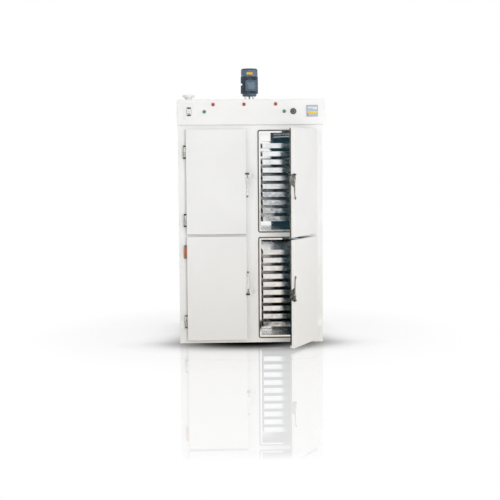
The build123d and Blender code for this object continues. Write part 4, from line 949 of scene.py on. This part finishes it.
def reflected_floor(nodes, place):
    """Colour of the floor in reflections: pale, with a dark strip from the foot to the left."""
    from_foot = nodes.node("ShaderNodeVectorMath", operation="SUBTRACT")
    nodes.link(place, from_foot.inputs[0])
    from_foot.inputs[1].default_value = STRIP_START
    run, side = (
        nodes.node("ShaderNodeVectorMath", operation="DOT_PRODUCT") for _ in range(2)
    )
    for product, direction in ((run, STRIP_ALONG), (side, STRIP_ACROSS)):
        nodes.link(from_foot.outputs["Vector"], product.inputs[0])
        product.inputs[1].default_value = direction
    near = nodes.span(run.outputs["Value"], *STRIP_NEAR)
    aside = nodes.maths("ABSOLUTE", side.outputs["Value"])
    beside = nodes.span(aside, STRIP_HALF + STRIP_BLUR, STRIP_HALF)
    return nodes.blend(nodes.maths("MULTIPLY", near, beside), REFLECTED_COLOR, STRIP_COLOR)


def make_floor():
    """A glossy white floor with a soft dark shadow painted round the cabinet's foot."""
    bpy.ops.mesh.primitive_plane_add(size=FLOOR_SIZE, location=(0, 0, 0))
    floor = bpy.context.object
    floor.name = "stage_floor"
    material, nodes, surface = stage_material("stage_floor")
    path = nodes.node("ShaderNodeLightPath").outputs
    camera, gloss = path["Is Camera Ray"], path["Is Glossy Ray"]
    place = nodes.object_place()
    shadow = painted_shadow(nodes, place)
    length = nodes.node("ShaderNodeVectorMath", operation="LENGTH")
    nodes.link(place, length.inputs[0])
    distance = length.outputs["Value"]

    tint = nodes.blend(gloss, (1, 1, 1, 1), reflected_floor(nodes, place))
    toned = nodes.blend(1.0, tint, nodes.maths("MAXIMUM", shadow, gloss), mode="MULTIPLY")
    plain = nodes.shader_of("ShaderNodeEmission", toned)
    matt = nodes.shader_of("ShaderNodeBsdfDiffuse", nodes.blend(camera, BOUNCE_COLOR, shadow))
    share = nodes.span(distance, PLAIN_FROM, PLAIN_FULL, PLAIN_SHARE)
    seen = nodes.maths("MAXIMUM", nodes.maths("MULTIPLY", camera, share), gloss)
    lit = nodes.mixed(seen, matt, plain)

    mirror = nodes.shader_of("ShaderNodeBsdfGlossy", shadow)
    mirror.inputs["Roughness"].default_value = MIRROR_ROUGHNESS
    strength = ramp(nodes, nodes.maths("MULTIPLY", distance, 1 / MIRROR_RAMP), MIRROR_STOPS)
    polished = nodes.mixed(nodes.maths("MULTIPLY", camera, strength), lit, mirror)
    nodes.link(polished.outputs[0], surface)
    floor.data.materials.append(material)


def make_flag(name, centre, facing, width, height, color):
    """A dark card that is seen only in reflections, as a studio uses to give steel its dark bands."""
    material, nodes, surface = stage_material(name)
    nodes.link(nodes.shader_of("ShaderNodeEmission", color).outputs[0], surface)
    bpy.ops.mesh.primitive_plane_add(size=1, location=centre)
    flag = bpy.context.object
    flag.name = name
    flag.scale = (width, height, 1)
    flag.rotation_mode = "QUATERNION"
    flag.rotation_quaternion = Vector(facing).to_track_quat("Z", "Y")
    flag.data.materials.append(material)
    for hidden in ("visible_camera", "visible_diffuse", "visible_shadow", "visible_transmission"):
        setattr(flag, hidden, False)


def make_world():
    """White wherever it is seen, and a dimmer light on the object."""
    world = bpy.data.worlds.new("studio")
    world.use_nodes = True
    world.node_tree.nodes.clear()
    nodes = Nodes(world.node_tree)
    path = nodes.node("ShaderNodeLightPath").outputs
    seen = nodes.maths("MAXIMUM", path["Is Camera Ray"], path["Is Glossy Ray"])
    seen = nodes.maths("MAXIMUM", seen, path["Is Transmission Ray"])
    light, white = (nodes.shader_of("ShaderNodeBackground", (1, 1, 1, 1)) for _ in range(2))
    light.inputs["Strength"].default_value = WORLD_LIGHT
    output = nodes.node("ShaderNodeOutputWorld")
    nodes.link(nodes.mixed(seen, light, white).outputs[0], output.inputs["Surface"])
    bpy.context.scene.world = world


def make_light(name, place, target, size, power):
    """A soft lamp that doesn't show in reflections."""
    data = bpy.data.lights.new(name, "AREA")
    data.shape = "DISK"
    data.size = size
    data.energy = power
    lamp = bpy.data.objects.new(name, data)
    lamp.location = place
    lamp.visible_glossy = False
    lamp.rotation_mode = "QUATERNION"
    lamp.rotation_quaternion = (Vector(place) - Vector(target)).to_track_quat("Z", "Y")
    bpy.context.scene.collection.objects.link(lamp)


def make_camera():
    """The camera at the photograph's angle, its roll about its own view line."""
    data = bpy.data.cameras.new("camera")
    data.sensor_width = SENSOR
    data.lens = CAMERA_LENS
    camera = bpy.data.objects.new("camera", data)
    pitch, yaw, roll = (math.radians(v) for v in (CAMERA_PITCH, CAMERA_YAW, CAMERA_ROLL))
    forward = Vector((
        math.sin(yaw) * math.cos(pitch), math.cos(yaw) * math.cos(pitch), -math.sin(pitch)
    ))
    level = Vector((math.cos(yaw), -math.sin(yaw), 0))
    upright = level.cross(forward)
    right = level * math.cos(roll) + upright * math.sin(roll)
    above = upright * math.cos(roll) - level * math.sin(roll)
    axes = Matrix((right, above, -forward)).transposed()
    camera.matrix_world = Matrix.Translation(CAMERA_PLACE) @ axes.to_4x4()
    bpy.context.scene.collection.objects.link(camera)
    bpy.context.scene.camera = camera


bpy.context.scene.view_settings.view_transform = "Standard"
make_camera()
make_world()
make_floor()
make_light("key", (1.4, -6.8, 2.3), (0, -0.5, 1.0), 3.4, 168)
make_light("fill", (5.2, -1.8, 2.4), (0.4, -0.8, 1.1), 2.6, 44)
make_light("left", (-3.6, -5.2, 1.9), (0, -0.4, 1.0), 3.0, 32)
make_flag("flag_left", (-3.2, -2.1, 1.2), (0.95, 0.31, 0), 2.6, 3.0, (0.012, 0.035, 0.045, 1))
make_flag("flag_edge", (-2.55, -3.75, 1.2), (0.77, 0.64, 0), 0.62, 3.0, (0.075, 0.068, 0.045, 1))
make_flag("flag_far", (1.15, -14.0, 0.39), (0, 1, 0), 0.66, 1.06, (0.04, 0.11, 0.16, 1))

dress_nodes()
for door in DOORS:
    hinge_caps(door)
    latch_trim(door)
    inner_panel_screws(door)
rusty_hinge(DOORS[0])
controller_face()
breaker_trim()
knob_trim()
panel_trim()
motor_trim()
louvre_hoods()
sheet_screws()
